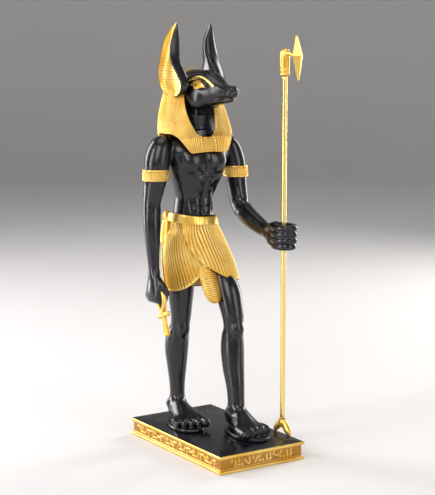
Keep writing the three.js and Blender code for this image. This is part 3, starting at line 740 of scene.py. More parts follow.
def shape_foot(clay, place):
    """One foot; the sections are drawn pointing along -Y from the ankle."""
    ankle_x, ankle_y, side, degrees = place
    c, s = math.cos(math.radians(degrees)), math.sin(math.radians(degrees))

    def at(x, y, z, *rest):
        return [ankle_x + c * x - s * y, ankle_y + s * x + c * y, SOLE + z, *rest]

    arch = [
        [0, 9.6, 6, 2.6, 4.4],
        [0, 6.5, 7.4, 5, 7.2],
        [0, 0, 8.8, 6.2, 9.2],
        [0, -8, 7.2, 7.4, 7.4],
        [side, -15, 5.4, 9.4, 5.6],
        [side, -23, 3.4, 12, 3.8],
    ]
    clay.limb([at(*row) for row in arch], UP, 2.0, 2.0)
    for k in range(5):
        across = side * (10.4 - 5.2 * k)
        reach = (33.6, 32.8, 31.6, 30, 28)[k]
        radius = 3.2 if k == 0 else 2.5
        clay.digit([at(0.9 * across, -19, 4, radius), at(across, 5.4 - reach, 3.4, radius),
                    at(across, radius - reach, 0.9 * radius, 0.96 * radius)], 0.9, X)
        nail = at(across, radius - reach - 1.2, 1.7 * radius)
        clay.lump(nail, [0.62 * radius, 0.75 * radius, 0.5], 0.3)
    for bone in (-1, 1):
        clay.lump(at(bone * 5.6, 2, 11.5), [2, 2.6, 2.8], 2)
    for k in range(4):
        across = side * (7.8 - 5.2 * k)
        clay.press([at(0.5 * across, -10, 10)[:3], at(0.9 * across, -19, 6.6)[:3]], 1.2, 0.3)


def shape_pads(clay):
    """The thin cast pad under each foot follows the sole's outline."""
    low = PLINTH_TOP + 0.3
    for x0, y0, _, degrees in (RIGHT_FOOT, LEFT_FOOT):
        c, s = math.cos(math.radians(degrees)), math.sin(math.radians(degrees))
        cut, (x, y, z) = clay.window([x0 - 20, y0 - 42, low - 2], [x0 + 20, y0 + 18, SOLE + 3])
        u = c * (x - x0) + s * (y - y0)
        v = c * (y - y0) - s * (x - x0) + 12.5
        around = np.clip(-v / 23.5, -1, 1)
        wide = (11.8 + 2.6 * around) * np.sqrt(1 - 0.97 * around**2)
        part = np.maximum(np.maximum(np.abs(u) - wide, np.abs(v) - 23.5), np.maximum(low - z, z - SOLE - 0.4))
        clay.join(cut, part.astype(np.float32), 0.5)


def build_torso_and_arms():
    clay = Clay([-46, -46, 100], [46, 44, 236], sizes().skin_pitch / MM)
    shape_torso(clay)
    shape_right_arm(clay)
    shape_right_hand(clay)
    shape_left_arm(clay)
    shape_left_hand(clay)
    points, quads = clay.skin()
    return points, quads


def build_legs_and_feet():
    clay = Clay([-28, -50, 11], [28, 50, 136], sizes().skin_pitch / MM)
    shape_leg(clay, RIGHT_LEG, (-11.1, 30.6, 82))
    shape_leg(clay, LEFT_LEG, (13.3, -2.8, 85))
    shape_foot(clay, RIGHT_FOOT)
    shape_foot(clay, LEFT_FOOT)
    clay.cut_below(PLINTH_TOP + 0.3)
    shape_pads(clay)
    clay.cut_below(PLINTH_TOP + 0.3)
    points, quads = clay.skin()
    return points, quads


# Head and ears

HEAD_TURN = math.radians(8)  # the head looks slightly to its left
HEAD_AXIS_Y = 22
SKULL = [
    [0, 10, 254.5, 9, 9],
    [0, 4, 254.2, 12, 12.4],
    [0, -2, 254, 12.2, 13.3],
    [0, -8, 253.8, 11, 13.2],
    [0, -14, 253.3, 9.4, 11.9],
    [0, -20, 253.4, 7.3, 8.4],
    [0, -26, 252.9, 5.8, 5.7],
    [0, -32, 252.3, 4.8, 4.4],
    [0, -36, 252.1, 4.2, 4.1],
    [0, -37.6, 252.2, 3.2, 3.2],
]
LOWER_JAW = [
    [0, -10, 247, 7, 5.4],
    [0, -18, 246.4, 5.8, 3.8],
    [0, -26, 246.5, 4.5, 2.7],
    [0, -32, 246.8, 3.7, 2.2],
    [0, -35, 247, 2.6, 1.6],
]
EAR_ROWS = [
    [248.6, -6, 19, 2.2, 3],
    [250.6, -5.6, 19.6, 7.6, 5],
    [257, -5.6, 20.8, 11.6, 7.4],
    [265, -7.6, 21.9, 9.8, 9.2],
    [273, -8.8, 22.6, 6.2, 10],
    [280, -9.3, 21.8, 4.4, 10.2],
    [288, -8.7, 19.9, 3.4, 8],
    [295, -6.6, 17.6, 2.4, 3.6],
    [300, -4.4, 15.6, 0.3, 0.4],
]
EYE_UPPER = [[-4.4, 256.2], [-7.2, 258.2], [-10.5, 259.8], [-14, 259.9], [-16.6, 258.4], [-19.4, 255.5]]
EYE_LOWER = [[-4.4, 256.2], [-7.6, 256.2], [-9.6, 254.4], [-12.1, 254.1], [-14.5, 255.1], [-19.4, 255.5]]
PUPIL = (-11.3, 256.9, 0.75)
BROW = [[-4.4, 260.1], [-8.6, 261.7], [-13.2, 262.3], [-17.1, 261.1], [-20.7, 258.9], [-23.3, 256.6]]


def turn_head(points):
    c, s = math.cos(HEAD_TURN), math.sin(HEAD_TURN)
    x, y, z = points[:, 0], points[:, 1], points[:, 2]
    return np.stack([c * x - s * y, s * x + c * y + HEAD_AXIS_Y, z], 1)


def path_distance(y, z, path):
    """Distance in the side view from points to a line through [y, z] places."""
    rows = curve([[p[0], p[1], 0] for p in path], 0.6)[:, :2]
    nearest = np.full(len(y), FAR)
    for p, q in zip(rows, rows[1:]):
        run = q - p
        t = np.clip(((y - p[0]) * run[0] + (z - p[1]) * run[1]) / max(run @ run, 1e-9), 0, 1)
        nearest = np.minimum(nearest, np.hypot(y - p[0] - t * run[0], z - p[1] - t * run[1]))
    return nearest


def eye_and_brow(points):
    """How far inside the gilded eye or brow a point of the head lies, in mm, seen from the side."""
    y, z = points[:, 1], points[:, 2]
    upper, lower = [curve([[*p, 0] for p in edge], 0.5)[::-1] for edge in (EYE_UPPER, EYE_LOWER)]
    top, bottom = [np.interp(y, edge[:, 0], edge[:, 1], FAR, FAR) for edge in (upper, lower)]
    eye = np.minimum(top - z, z - bottom)
    eye[(y > EYE_UPPER[0][0]) | (y < EYE_UPPER[-1][0])] = -FAR
    eye = np.minimum(eye, np.hypot(y - PUPIL[0], z - PUPIL[1]) - PUPIL[2])
    brow = 0.75 - path_distance(y, z, BROW)
    gild = np.maximum(eye, brow)
    gild[np.abs(points[:, 0]) < 3] = -FAR
    return gild


def build_head():
    clay = Clay([-19, -46, 234], [19, 16, 272], sizes().head_pitch / MM)
    clay.limb(SKULL, UP, 2.4, 2.0)
    clay.limb(LOWER_JAW, UP, 2.2, 0.5)
    clay.lump([0, -36.8, 253.6], [3.9, 3.2, 3.2], 1.2)
    for side in (-1, 1):
        clay.limb([
            [side * 10.2, -1, 259.4, 1.2, 1],
            [side * 9.4, -6, 262.6, 2, 1.6],
            [side * 8.2, -12, 263, 2, 1.6],
            [side * 6.6, -18, 260.6, 1.6, 1.4],
            [side * 5, -24, 256.6, 0.8, 0.8],
        ], UP, 2.0, 1.4)
        clay.lump([side * 8.9, -10.6, 256.9], [2.7, 9.6, 3.4], 1.2)
        clay.lump([side * 8.2, -6, 246.8], [4.4, 8.6, 7], 3)
        clay.lump([side * 2.5, -37.6, 252.8], [2.3, 2.3, 2.7], 0.8)
        clay.press([[side * 2.3, -40, 252.9], [side * 3.9, -39.2, 252]], 0.8, 1.5)
        clay.press([[side * 9.9, -4.4, 255.4], [side * 9.6, -9.6, 253.2], [side * 8.8, -14, 253.9],
                    [side * 7, -19.6, 254.4]], 0.6, 0.5)
        clay.press([[side * 10.4, -3, 259.2], [side * 9.8, -9, 260.9], [side * 8.6, -15, 260.9],
                    [side * 6.4, -21, 256.6]], 0.6, 0.5)
    clay.press([[0, -14, 266], [0, -26, 259]], 2.0, 0.7)
    points, quads = clay.skin()
    gild = eye_and_brow(points)
    return turn_head(points), quads, gild


def build_ear(side):
    """A spoon-shaped ear: black behind, and gilded with cross ribs in its hollow on the outer side."""
    rows, sides = 180, 72
    z = np.linspace(EAR_ROWS[0][0], EAR_ROWS[-1][0], rows)
    forward, outward, half, belly = lookup(EAR_ROWS, z)
    half = np.maximum(half, 0.12)
    angle = np.arange(sides) * 2 * np.pi / sides
    inward = np.sin(angle)[None]
    hollow = np.maximum(-inward, 0)
    dish = np.where(inward > 0, np.abs(inward) ** 0.8, 0.4 * hollow)
    # the inner side leans forwards, but not at the back edge, where the two sides would cross
    forwards = smooth((1 + np.cos(angle)[None]) / 0.8)
    lean = np.where(inward > 0, 0.7 * inward * forwards, 0) * half[:, None]
    count = (z - 249) / 1.9
    fade = smooth((285 - z) / 16) * smooth((z - 250) / 3)
    rib = ridges(count, 0.7)[:, None] * (fade[:, None] * smooth((hollow - 0.25) / 0.3))
    rim = smooth((hollow - 0.3) / 0.25) * smooth((298 - z) / 12)[:, None] * smooth((z - 249.5) / 2.5)[:, None]
    x = side * (outward[:, None] - belly[:, None] * dish - 0.9 * rim + 0.4 * rib)
    y = -(forward[:, None] + half[:, None] * np.cos(angle)[None] + lean)
    grid = np.stack([x, y, np.broadcast_to(z[:, None], x.shape)], -1)
    points, faces = ring_skin(grid)
    gild = np.where(inward < 0, 2.5 * hollow - 0.15, -1.0) * np.ones_like(x)
    wash = (1 - rib) * rim * fade[:, None] * 0.75
    ends = np.array([-1.0, 1.0])
    return turn_head(points), faces, np.append(gild.ravel(), ends), np.append(wash.ravel(), [0, 0])


# Headcloth

CLOTH_ROWS = [
    [205, 4.6, 37, 21, 3],
    [209, 5.2, 40, 23, 3],
    [216.5, 6, 44, 25.6, 2.8],
    [224, 8, 46.6, 26.6, 2.6],
    [236, 12, 48.2, 25, 2.4],
    [251, 16.6, 47.2, 20.2, 2.4],
    [260, 19.2, 44, 15.4, 2.4],
    [265.4, 23, 39.4, 10.4, 2.2],
    [267.6, 27, 34.5, 4, 2],
]
CLOTH_X = 0.6
OPENING = [
    [-1.8, 8, 220.5, 4, 5],
    [-2, 8, 225, 8, 10],
    [-3, 8, 243, 12.6, 14.5],
    [-3, 8, 270, 13, 16],
]
OPENING_BOTTOM = 221.2
OPENING_SHARE = 0.13  # share of each half ring of points that lies between the two lappets
STRIPES = 92


def cloth_point(angle, z):
    """A point of the headcloth at an angle from the front, positive towards its left side."""
    front, back, half, power = lookup(CLOTH_ROWS, z)
    u, v = oval(angle - np.pi / 2, half, (back - front) / 2, power)
    return np.stack([CLOTH_X + u, (front + back) / 2 + v, z + 0 * u], -1)


def lappet_edges(z):
    """The angles of the two lappets' inner edges at each height."""
    turn = np.linspace(0, 0.9 * np.pi, 500)
    x0, y0, a, b = lookup([[r[2], r[0], r[1], r[3], r[4]] for r in OPENING], np.maximum(z, OPENING[0][2]))
    found = []
    for side in (-1, 1):
        p = cloth_point(side * turn[None], z[:, None])
        outside = np.abs((p[..., 0] - x0[:, None]) / a[:, None]) ** 2.4 + np.abs(
            (p[..., 1] - y0[:, None]) / b[:, None]) ** 2.4 > 1
        found.append(side * turn[np.argmax(outside, 1)])
    return found


def build_headcloth():
    rows, sides = 112, 6 * STRIPES
    share = np.linspace(-1, 1, sides, endpoint=False)
    angle = share * np.pi
    lift = smooth((np.sin(angle) ** 2 - 0.45) / 0.5)
    hem = 210.5 + 12.5 * lift - 1.5 * smooth(np.abs(share) * 3 - 0.2) * (np.abs(share) < 0.5) * (1 - lift)
    t = np.linspace(0, 1, rows)[:, None]
    z = hem[None] + (267.6 - hem[None]) * t
    level = np.linspace(204, 267.6, 200)
    near, far = lappet_edges(level)
    near, far = [np.interp(z, level, e) for e in (near, far)]
    edge = np.maximum(np.where(share < 0, -near, far), 0.05)
    size = np.abs(share)[None]
    out = np.where(size < OPENING_SHARE, edge * size / OPENING_SHARE,
                   edge + (np.pi - edge) * (size - OPENING_SHARE) / (1 - OPENING_SHARE))
    turned = np.where(share < 0, -out, out)
    grid = cloth_point(turned, z)
    within = size < OPENING_SHARE - 1e-9
    bottom = OPENING_BOTTOM + 4 * (size / OPENING_SHARE) ** 4
    wall = smooth((OPENING_SHARE - size) / 0.008)
    crown = np.maximum(smooth((edge - 0.1) / 0.1), smooth((250 - z) / 5))  # the opening ends below the crown
    open_part = within * wall * crown * smooth((z - bottom) / 0.6)
    bib = within * (1 - smooth((z - bottom) / 0.6))
    count = (size - OPENING_SHARE) / (1 - OPENING_SHARE) * STRIPES / 2
    stripe = ridges(count, 0.6)
    strokes = ridges(z / 1.9 + 0.35 * np.sin(size * 60), 0.7)
    crest = np.where(within, strokes, stripe)
    fade = smooth((265 - z) / 6)
    relief = sizes().stripe_relief / MM
    out_by = -relief * (1 - crest) * fade - 0.9 * bib
    grid = grid + normals(grid) * out_by[..., None]
    # Inside the opening the cloth is drawn in to the neck's axis as two walls, which are painted black below
    # as painted shade.
    neck = np.array([0.3, 25.5, 0])
    inner = grid + (neck - grid) * [0.94, 0.94, 0]
    grid = grid + (inner - grid) * open_part[..., None]
    hem_centre = np.array([CLOTH_X, 26, 0])
    lip = grid[0] + (hem_centre - grid[0]) * [0.1, 0.1, 0]
    throat = grid[0] + (hem_centre - grid[0]) * [0.16, 0.16, 0] + [0, 0, 4]
    points, faces = ring_skin(np.concatenate([throat[None], lip[None], grid]))
    # The stripes' grooves get brown antiquing; the two underside rings and their end at the throat are set
    # fully brown as painted shade.
    wash = np.vstack([np.ones((2, sides)), np.clip((1 - crest) * 1.5, 0, 1) * fade])
    gild = np.vstack([np.ones((2, sides)), 1 - 30 * open_part])  # the opening's inner walls are painted black as painted shade; the gold ends just inside the opening
    return points, faces, np.append(wash.ravel(), [1, 0]), np.append(gild.ravel(), [1, 1])


# Kilt, belt, knot and tab

BELT_TOP = 163.5
BELT_BOTTOM = 157
BELT_LIFT = 3.3
KILT_ROWS = [
    [163.5, -1.5, 27.2, 16.8, 12.6, 0],
    [156, -1.2, 27, 18, 13.4, -4],
    [150, -1.4, 26.4, 21, 13.8, -12],
    [140, -1, 24.3, 24, 13.8, -22],
    [130, -0.2, 21.6, 25.8, 13.2, -30],
    [118, 0.7, 18.8, 26.7, 12.6, -36],
    [106, 1.4, 16.4, 26.8, 12.2, -39],
]
PLEATS = 62
LAP_BACK = -206  # bearing in degrees, behind the right hip, where the upper panel's cloth ends
LAP_EDGE = [[131, -115.5], [135.9, -119], [140.8, -122.9], [148.3, -128.8], [154.2, -136], [160.9, -143]]


def kilt_point(bearing, z, proud=0.0):
    x, y, a, b, turn = [np.interp(z, [r[0] for r in KILT_ROWS[::-1]], [r[i] for r in KILT_ROWS[::-1]])
                        for i in range(1, 6)]
    u, v = oval(np.radians(bearing - turn), a + proud, b + proud, 2.3)
    c, s = np.cos(np.radians(turn)), np.sin(np.radians(turn))
    return np.stack([x + u * c - v * s, y + u * s + v * c, z + 0 * u], -1)


def belt_lift(bearing):
    return BELT_LIFT * np.sin(np.radians(bearing / 2)) ** 4


def hem_height(bearing):
    around = np.where(bearing > 165, bearing - 360, bearing)
    right = 111 + 20 * np.clip((around + 195) / 79, 0, 1) ** 3.2
    middle = 119.8 + 11.2 * np.clip((-61 - around) / 55, 0, 1) ** 1.9
    left = 111 + 8.8 * (1 - smooth((around + 61) / 130))
    return np.where(around < -116, right, np.where(around < -61, middle, left))


def build_kilt_panel(first, last, columns, rows, proud, first_edge=None, last_edge=None, start=0.0):
    """A pleated panel between two bearings; an edge given as a table follows the lap's slant."""
    across = np.linspace(0, 1, columns)[None]
    down = np.linspace(0, 1, rows)[:, None]
    hem = hem_height(first + (last - first) * across)
    z = BELT_BOTTOM + 3 + belt_lift(first + (last - first) * across) * 0.6
    z = z + (hem - z) * down
    left = first if first_edge is None else np.interp(z, *np.array(first_edge).T)
    right = last if last_edge is None else np.interp(z, *np.array(last_edge).T) + 7
    bearing = left + (right - left) * across
    crest = ridges(bearing * PLEATS / 360 + start, 0.6)
    base = kilt_point(bearing, z, proud)
    facing = -normals(base, False)  # the rows run downwards, so the plain normals point inwards
    border = smooth((hem + 1.6 - z) / 0.5)
    if first_edge is not None:
        border = np.maximum(border, smooth(2 - across * columns / 4))
    crest = np.maximum(crest, border)
    out = -sizes().pleat_relief / MM * (1 - crest) + 0.2 * border
    grid = base + facing * out[..., None]
    inner = base - facing * 1.7
    points, faces = slab(grid, inner)
    # Brown antiquing in the pleats' grooves; the inner face, under the kilt, is set fully brown as painted
    # shade.
    wash = np.concatenate([np.clip(1.5 * (1 - crest), 0, 1).ravel(), np.ones(grid.shape[:2]).ravel()])
    return points, faces, wash


def build_belt():
    sides, rows = 360, 16
    bearing = np.linspace(0, 360, sides, endpoint=False)[None]
    t = np.linspace(0, 1, rows)[:, None]
    z = BELT_BOTTOM + (BELT_TOP - BELT_BOTTOM) * t
    edge = 1 - np.abs(2 * t - 1) ** 8
    seam = np.exp(-(((bearing - 247) / 0.8) ** 2))
    hammered = 0.06 * np.sin(bearing * 0.9) * np.sin(3 * t + bearing * 0.31)
    rim = kilt_point(bearing, z, 0.9)
    grid = rim + normals(rim) * (0.35 * edge - 0.35 * seam + hammered - 0.2)[..., None]
    inner = rim - normals(rim) * 2.5
    for part in (grid, inner):
        part[..., 2] += belt_lift(bearing)
    points, faces = slab(grid, inner, wrap=True)
    # Brown at the belt's top and bottom edges and in the seam; the inner face, hidden in the waist, is set
    # fully brown as painted shade.
    wash = 0.9 * np.maximum(smooth(np.abs(2 * t - 1) * 6 - 5), seam)
    return points, faces, np.concatenate([wash.ravel(), np.ones(wash.size)])


def build_kilt_underside():
    """The plain underside between the kilt's cloth and the thighs."""
    sides = 120
    bearing = np.linspace(0, 360, sides, endpoint=False)
    hem = hem_height(bearing) + 1.6
    rings = [kilt_point(bearing, hem + (158 - hem) * t, -3.4) for t in np.linspace(0, 1, 12)]
    low = rings[0] * 1.0
    low[:, :2] = low[:, :2].mean(0) + 0.5 * (low[:, :2] - low[:, :2].mean(0))
    low[:, 2] += 4
    return ring_skin(np.stack([low, *rings]))


def build_tab():
    ribs = 20
    rows, sides = ribs * 9, 72
    path = curve([[-0.4, 13, 132], [-0.4, 7.5, 124], [0, 3, 115], [1.4, -0.4, 104]], 0.1)
    path = path[np.linspace(0, len(path) - 1, rows).astype(int)]
    t = np.linspace(0, 1, rows)
    round_end = np.sqrt(np.maximum(0.01, 1 - np.maximum(0, (t - 0.62) / 0.38) ** 2.4))
    width = 7.4 * round_end * np.minimum(1, 0.45 + 2 * t)
    along = unit(np.gradient(path, axis=0))
    side = unit(np.cross(along, Y))
    ahead = np.cross(side, along)
    angle = np.arange(sides) * 2 * np.pi / sides
    u, v = oval(angle[None], width[:, None], 2.2, 2.6)
    crest = ridges(t * ribs, 0.7)[:, None] + 0 * u
    bow = 1.2 * (u / np.maximum(width[:, None], 1)) ** 2
    grid = path[:, None] + side[:, None] * u[..., None] + ahead[:, None] * (v + bow)[..., None]
    swell = sizes().rib_relief / MM * (crest - 0.6)
    out = unit(grid - path[:, None])
    grid = grid + out * swell[..., None]
    points, faces = ring_skin(grid)
    return points, faces, np.append(np.clip(1.15 * (1 - crest), 0, 1).ravel(), [0.5, 0.5])


def build_knot():
    """The belt's knot with two short pleated ends, behind the right hip."""
    clay = Clay([-26, 28, 142], [-12, 44, 170], sizes().trim_pitch / MM)
    long_end = [[-17.4, 36.4, 163, 2.2, 2.6], [-19, 36.6, 156, 1.9, 2.9], [-20.6, 36.4, 145.6, 1.7, 3]]
    short_end = [[-17.6, 34, 162, 1.9, 2], [-18.8, 33.2, 156, 1.7, 2.2], [-19.8, 32.8, 148, 1.5, 2.2]]
    clay.limb(long_end, Y, 3.0, 0.6)
    clay.limb(short_end, Y, 3.0, 0.5)
    clay.lump([-17.9, 36, 162.8], [2.8, 3.4, 3.2], 0.6)
    clay.lump([-17.2, 36.6, 165.6], [2.2, 2.6, 1.9], 0.6)
    clay.press([[-20.4, 36, 161], [-20.6, 36, 165]], 0.5, 0.6)
    for y in (35, 37.4):
        clay.press([[-21, y, 159], [-22.6, y, 146]], 0.5, 0.5)
    points, quads = clay.skin(4)
    return points, quads


ARMBANDS = {
    "armband_right": (-33, 25, -0.4, 9.3, 9.7),
    "armband_left": (33, 24.2, 0.8, 8.9, 9.6),
}
BAND_MIDDLE = 194.5
BAND_HALF = 4


def build_armband(x, y, lean, a, b):
    ribs, sides, rows = 44, 352, 20
    angle = np.arange(sides)[None] * 2 * np.pi / sides
    t = np.linspace(-1, 1, rows)[:, None]
    u, v = oval(angle, a + 0.15 * (1 + t), b + 0.15 * (1 + t))
    base = np.stack([x + u, y + lean * t + v, BAND_MIDDLE + BAND_HALF * t + 0 * u], -1)
    border = smooth((np.abs(t) - 0.66) / 0.06)
    round_off = smooth((np.abs(t) - 0.9) / 0.1)
    crest = ridges(angle * ribs / (2 * np.pi), 0.7)
    out = -0.4 * (1 - crest) * (1 - border) - 0.1 + 0.15 * border - 0.35 * round_off
    grid = base + normals(base) * out[..., None]
    inner = base - normals(base) * 2.2
    points, faces = slab(grid, inner, wrap=True)
    groove = np.exp(-(((np.abs(t) - 0.66) / 0.05) ** 2))
    # Brown in the ribs' grooves and in the border grooves; the inner face, hidden in the arm, is set fully
    # brown as painted shade.
    wash = np.clip((1 - crest) * (1 - border) + groove, 0, 1)
    return points, faces, np.concatenate([wash.ravel(), np.ones(wash.size)])


# Ankh, sceptre and plinth

def build_ankh():
    """Drawn in its own plane with the stem's foot at the origin, then laid in the closed hand."""
    clay = Clay([-3.4, -8.4, -1.5], [3.4, 8.4, 35.5], sizes().trim_pitch / MM)
    clay.limb([[0, 0, 0.9, 1.85, 1.75], [0, 0, 8, 1.7, 1.45], [0, 0, 17, 1.6, 1.3]], Y, 3.5, 0.6, 1.0)
    clay.limb([[0, -5.6, 15, 1.7, 1.75], [0, 0, 15, 1.55, 1.3], [0, 5.6, 15, 1.7, 1.75]], UP, 3.5, 0.6, 1.0)
    loop = [[0, 0.4, 17.4], [0, 3.1, 21.6], [0, 4.2, 26], [0, 3.6, 30.4], [0, 0, 32.6]]
    loop += [[0, -y, z] for _, y, z in loop[-2::-1]]
    clay.limb([[*p, 1.35, 1.75] for p in loop], X, 2.6, 0.5, 1.0)
    for side in (-1, 1):
        clay.press([[side * 1.75, 0, 2], [side * 1.75, 0, 12.6]], 0.4, 0.5)
        clay.press([[side * 1.75, -4.6, 15], [side * 1.75, 4.6, 15]], 0.35, 0.35)
    points, quads = clay.skin(4)
    points[:, 2] = np.clip(points[:, 2], 0, 34)
    points = points - [0, 0, 34]
    c, s = math.cos(-0.33), math.sin(-0.33)
    x, y, z = points.T
    return np.stack([x - 35.2, c * y - s * z + 18, s * y + c * z + 115.5], 1), quads


STAFF_FOOT_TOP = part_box("staff_foot")[1].z / MM
STAFF_HEAD_BOTTOM = 264
STAFF_HEAD_TOP = 282


def build_staff_shaft():
    low, high = [corner.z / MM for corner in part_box("staff_shaft")]
    sides, rows = 40, 130
    z = np.linspace(low, high, rows)
    angle = np.arange(sides) * 2 * np.pi / sides
    radius = 1.8 - 0.25 * smooth((0.5 - (z - low)) / 0.5) - 0.25 * smooth((0.5 - (high - z)) / 0.5)
    bend = 0.05 * np.sin(z / 37)
    x = STAFF_X + bend[:, None] + radius[:, None] * np.cos(angle)
    y = STAFF_Y + radius[:, None] * np.sin(angle)
    return ring_skin(np.stack([x, y, z[:, None] + 0 * x], -1))


def build_staff_head():
    clay = Clay([29, -57, 259], [39, -30, 293], sizes().trim_pitch / MM)
    clay.stack([
        [STAFF_X, STAFF_Y, STAFF_HEAD_BOTTOM, 3.2, 3.2],
        [STAFF_X, STAFF_Y, STAFF_HEAD_TOP - 6, 3.4, 3.4],
        [STAFF_X, STAFF_Y, STAFF_HEAD_TOP - 3, 3.3, 3.3],
        [STAFF_X, STAFF_Y - 0.6, STAFF_HEAD_TOP - 1, 2.5, 2.5],
        [STAFF_X, STAFF_Y - 1, STAFF_HEAD_TOP, 1.2, 1.2],
    ], 2.0, 0.6)
    clay.limb([
        [STAFF_X, STAFF_Y, STAFF_HEAD_TOP - 3.6, 2.2, 1.8],
        [STAFF_X, STAFF_Y - 7, STAFF_HEAD_TOP - 3.4, 2, 1.6],
        [STAFF_X, STAFF_Y - 14, STAFF_HEAD_TOP - 5, 2, 1.6],
    ], UP, 2.0, 1.2)
    points = [[-50.6, 260.7, 0.8], [-49.6, 277.4, 4.4], [-48.4, 290.8, 0.8]]
    cut, (x, y, z) = clay.window([29, -57, 259], [39, -42, 293])
    middle, half = [np.interp(z, [p[1] for p in points], [p[i] for p in points]) for i in (0, 2)]
    body = (np.abs(x - STAFF_X) / half + np.abs(y - middle) / (0.9 * half) - 1) * half * 0.68
    ends = np.maximum(points[0][1] - z, z - points[2][1])
    clay.join(cut, np.maximum(body, ends).astype(np.float32), 0.5)
    turn = np.linspace(0, 2 * np.pi, 17)
    for z0 in (265.6, 268.2):
        ring = [[STAFF_X + 3.4 * math.cos(a), STAFF_Y + 3.4 * math.sin(a), z0] for a in turn]
        clay.press(ring, 0.45, 0.35)
    return clay.skin(3)


def build_staff_foot():
    low = PLINTH_TOP + 0.3
    clay = Clay([29, -47, low - 1], [39, -23, STAFF_FOOT_TOP + 1], sizes().trim_pitch / MM)
    for side in (-1, 1):
        clay.limb([
            [STAFF_X, STAFF_Y + side * 8.6, low + 0.6, 1.5, 0.9],
            [STAFF_X, STAFF_Y + side * 6.6, low + 2.9, 2.3, 2.2],
            [STAFF_X, STAFF_Y + side * 3, low + 6.3, 2.9, 2.3],
            [STAFF_X, STAFF_Y, low + 8, 3, 2.4],
        ], X, 2.4, 0.8, 1.0)
    clay.stack([
        [STAFF_X, STAFF_Y, low + 5.4, 2.9, 3],
        [STAFF_X, STAFF_Y, low + 8.4, 2.6, 2.5],
        [STAFF_X, STAFF_Y, STAFF_FOOT_TOP, 2.5, 2.4],
    ], 2.2, 0.8)
    clay.cut_below(low)
    clay.cut_above(STAFF_FOOT_TOP)
    return clay.skin(3)


FRIEZE_LOW = 2.6
FRIEZE_HIGH = 9.7
FRIEZE_DEPTH = 1.6
STROKE_PITCH = 9


def frieze_strokes(run, quarter):
    """Short strokes [place along the side, height, tilt, half length] in an even row that isn't writing."""
    count = int((run - 8) / STROKE_PITCH)
    middle = (FRIEZE_LOW + FRIEZE_HIGH) / 2
    strokes = []
    for i in range(count):
        along = (i - (count - 1) / 2) * STROKE_PITCH
        tilt = [0, 0.6, math.pi / 2, -0.6, 0][(3 * i + quarter) % 5]
        strokes.append((along, middle, tilt, 1.5 if i % 3 == 1 else 2.2))
        kind = (2 * i + quarter) % 4
        strokes.append((along + 3, middle + 1.5, [0.3, math.pi / 2, 0, -0.8][kind], 1.0))
        strokes.append((along + 3, middle - 1.4, [math.pi / 2, 0, 0.9, math.pi / 2][kind], 1.1))
        strokes.append((along - 3.1, middle + 1.7 * (-1) ** i, [0, 0.8, -0.3, math.pi / 2][kind], 0.8))
    return strokes


def build_plinth():
    low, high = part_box("plinth")
    width, length = (high.x - low.x) / MM, (high.y - low.y) / MM
    profile = np.array([
        [0.5, 0], [0.12, 0.15], [0, 0.5], [0, 1.5], [0.2, 1.8], [FRIEZE_DEPTH, FRIEZE_LOW],
        [FRIEZE_DEPTH, FRIEZE_HIGH], [0.6, FRIEZE_HIGH + 0.45], [0.1, FRIEZE_HIGH + 0.9],
        [0, FRIEZE_HIGH + 1.3],
        [0, PLINTH_TOP - 0.7], [0.15, PLINTH_TOP - 0.2], [0.7, PLINTH_TOP],
    ])
    rows = []
    for p, q in zip(profile, profile[1:]):
        steps = max(1, int(np.linalg.norm(q - p) / 0.28))
        rows += [p + (q - p) * k / steps for k in range(steps)]
    rows = np.array([*rows, profile[-1]])
    step = 0.48
    corners = []
    relief = []
    for quarter, (run, across) in enumerate(2 * [(width, length), (length, width)]):
        along = np.linspace(-run / 2, run / 2, int(run / step), endpoint=False)
        c, s = math.cos(quarter * math.pi / 2), math.sin(quarter * math.pi / 2)
        corners.append(np.stack([along, *[0 * along + value for value in (run, across, c, s)]], 1))
        height = np.zeros((len(rows), len(along)))
        for place, middle, tilt, half in frieze_strokes(run, quarter):
            u = along[None] - place
            v = rows[:, 1:] - middle
            w = np.abs(u * math.cos(tilt) - v * math.sin(tilt))
            t = np.abs(u * math.sin(tilt) + v * math.cos(tilt))
            gap = np.hypot(w, np.maximum(t - half, 0))
            height = np.maximum(height, smooth((0.85 - gap) / 0.5))
        relief.append(height)
    ring = np.vstack(corners).T
    height = np.hstack(relief)
    inset = rows[:, :1]
    from_middle = np.abs(rows[:, 1:] - (FRIEZE_LOW + FRIEZE_HIGH) / 2)
    on_frieze = (from_middle < (FRIEZE_HIGH - FRIEZE_LOW) / 2 - 0.15) * 1.0
    height = height * on_frieze
    along, run, across, c, s = ring[:, None]
    out = across / 2 - inset + 0.6 * height
    keep = along * (1 - 2 * inset / run)
    x = c * keep + s * out
    y = s * keep - c * out
    grid = np.stack([x, y, rows[:, 1:] + 0 * x], -1)
    points, faces = ring_skin(grid)
    wash = on_frieze * (1 - 0.9 * height)
    wash = np.maximum(wash, smooth(1 - np.abs(rows[:, 1:] - 2.2) / 0.6) * 0.6)
    gild = np.where(rows[:, 1:] > PLINTH_TOP - 0.02, -1.0, 1.0) + 0 * x
    return points, faces, np.append(wash.ravel(), [0, 0]), np.append(gild.ravel(), [1, -1])


# Operators

class FIGURINE_OT_finishes(bpy.types.Operator):
    """Makes the black, gold and rod finishes"""

    bl_idname = "figurine.finishes"
    bl_label = "Finishes"

    def execute(self, context):
        paint_mottle()
        antique_gold()
        black_and_gold_material("black_skin")
        black_and_gold_material("gold_over_black")
        gold_material("cloth_gold", 0.8, 0.05)
        gold_material("cast_gold", 0.6, 0.06)
        rod_material()
        return {"FINISHED"}


class FIGURINE_OT_body(bpy.types.Operator):
    """Builds the black skin of the torso, arms, hands, legs and feet"""

    bl_idname = "figurine.body"
    bl_label = "Body"

    def execute(self, context):
        for name, build in (("torso_and_arms", build_torso_and_arms), ("legs_and_feet", build_legs_and_feet)):
            points, quads = build()
            none = np.full(len(points), -1.0)
            skin = finish("black_skin")
            make_piece(name, "figure", "black", skin, points, quads, gilding=none, wash=none + 1)
        return {"FINISHED"}


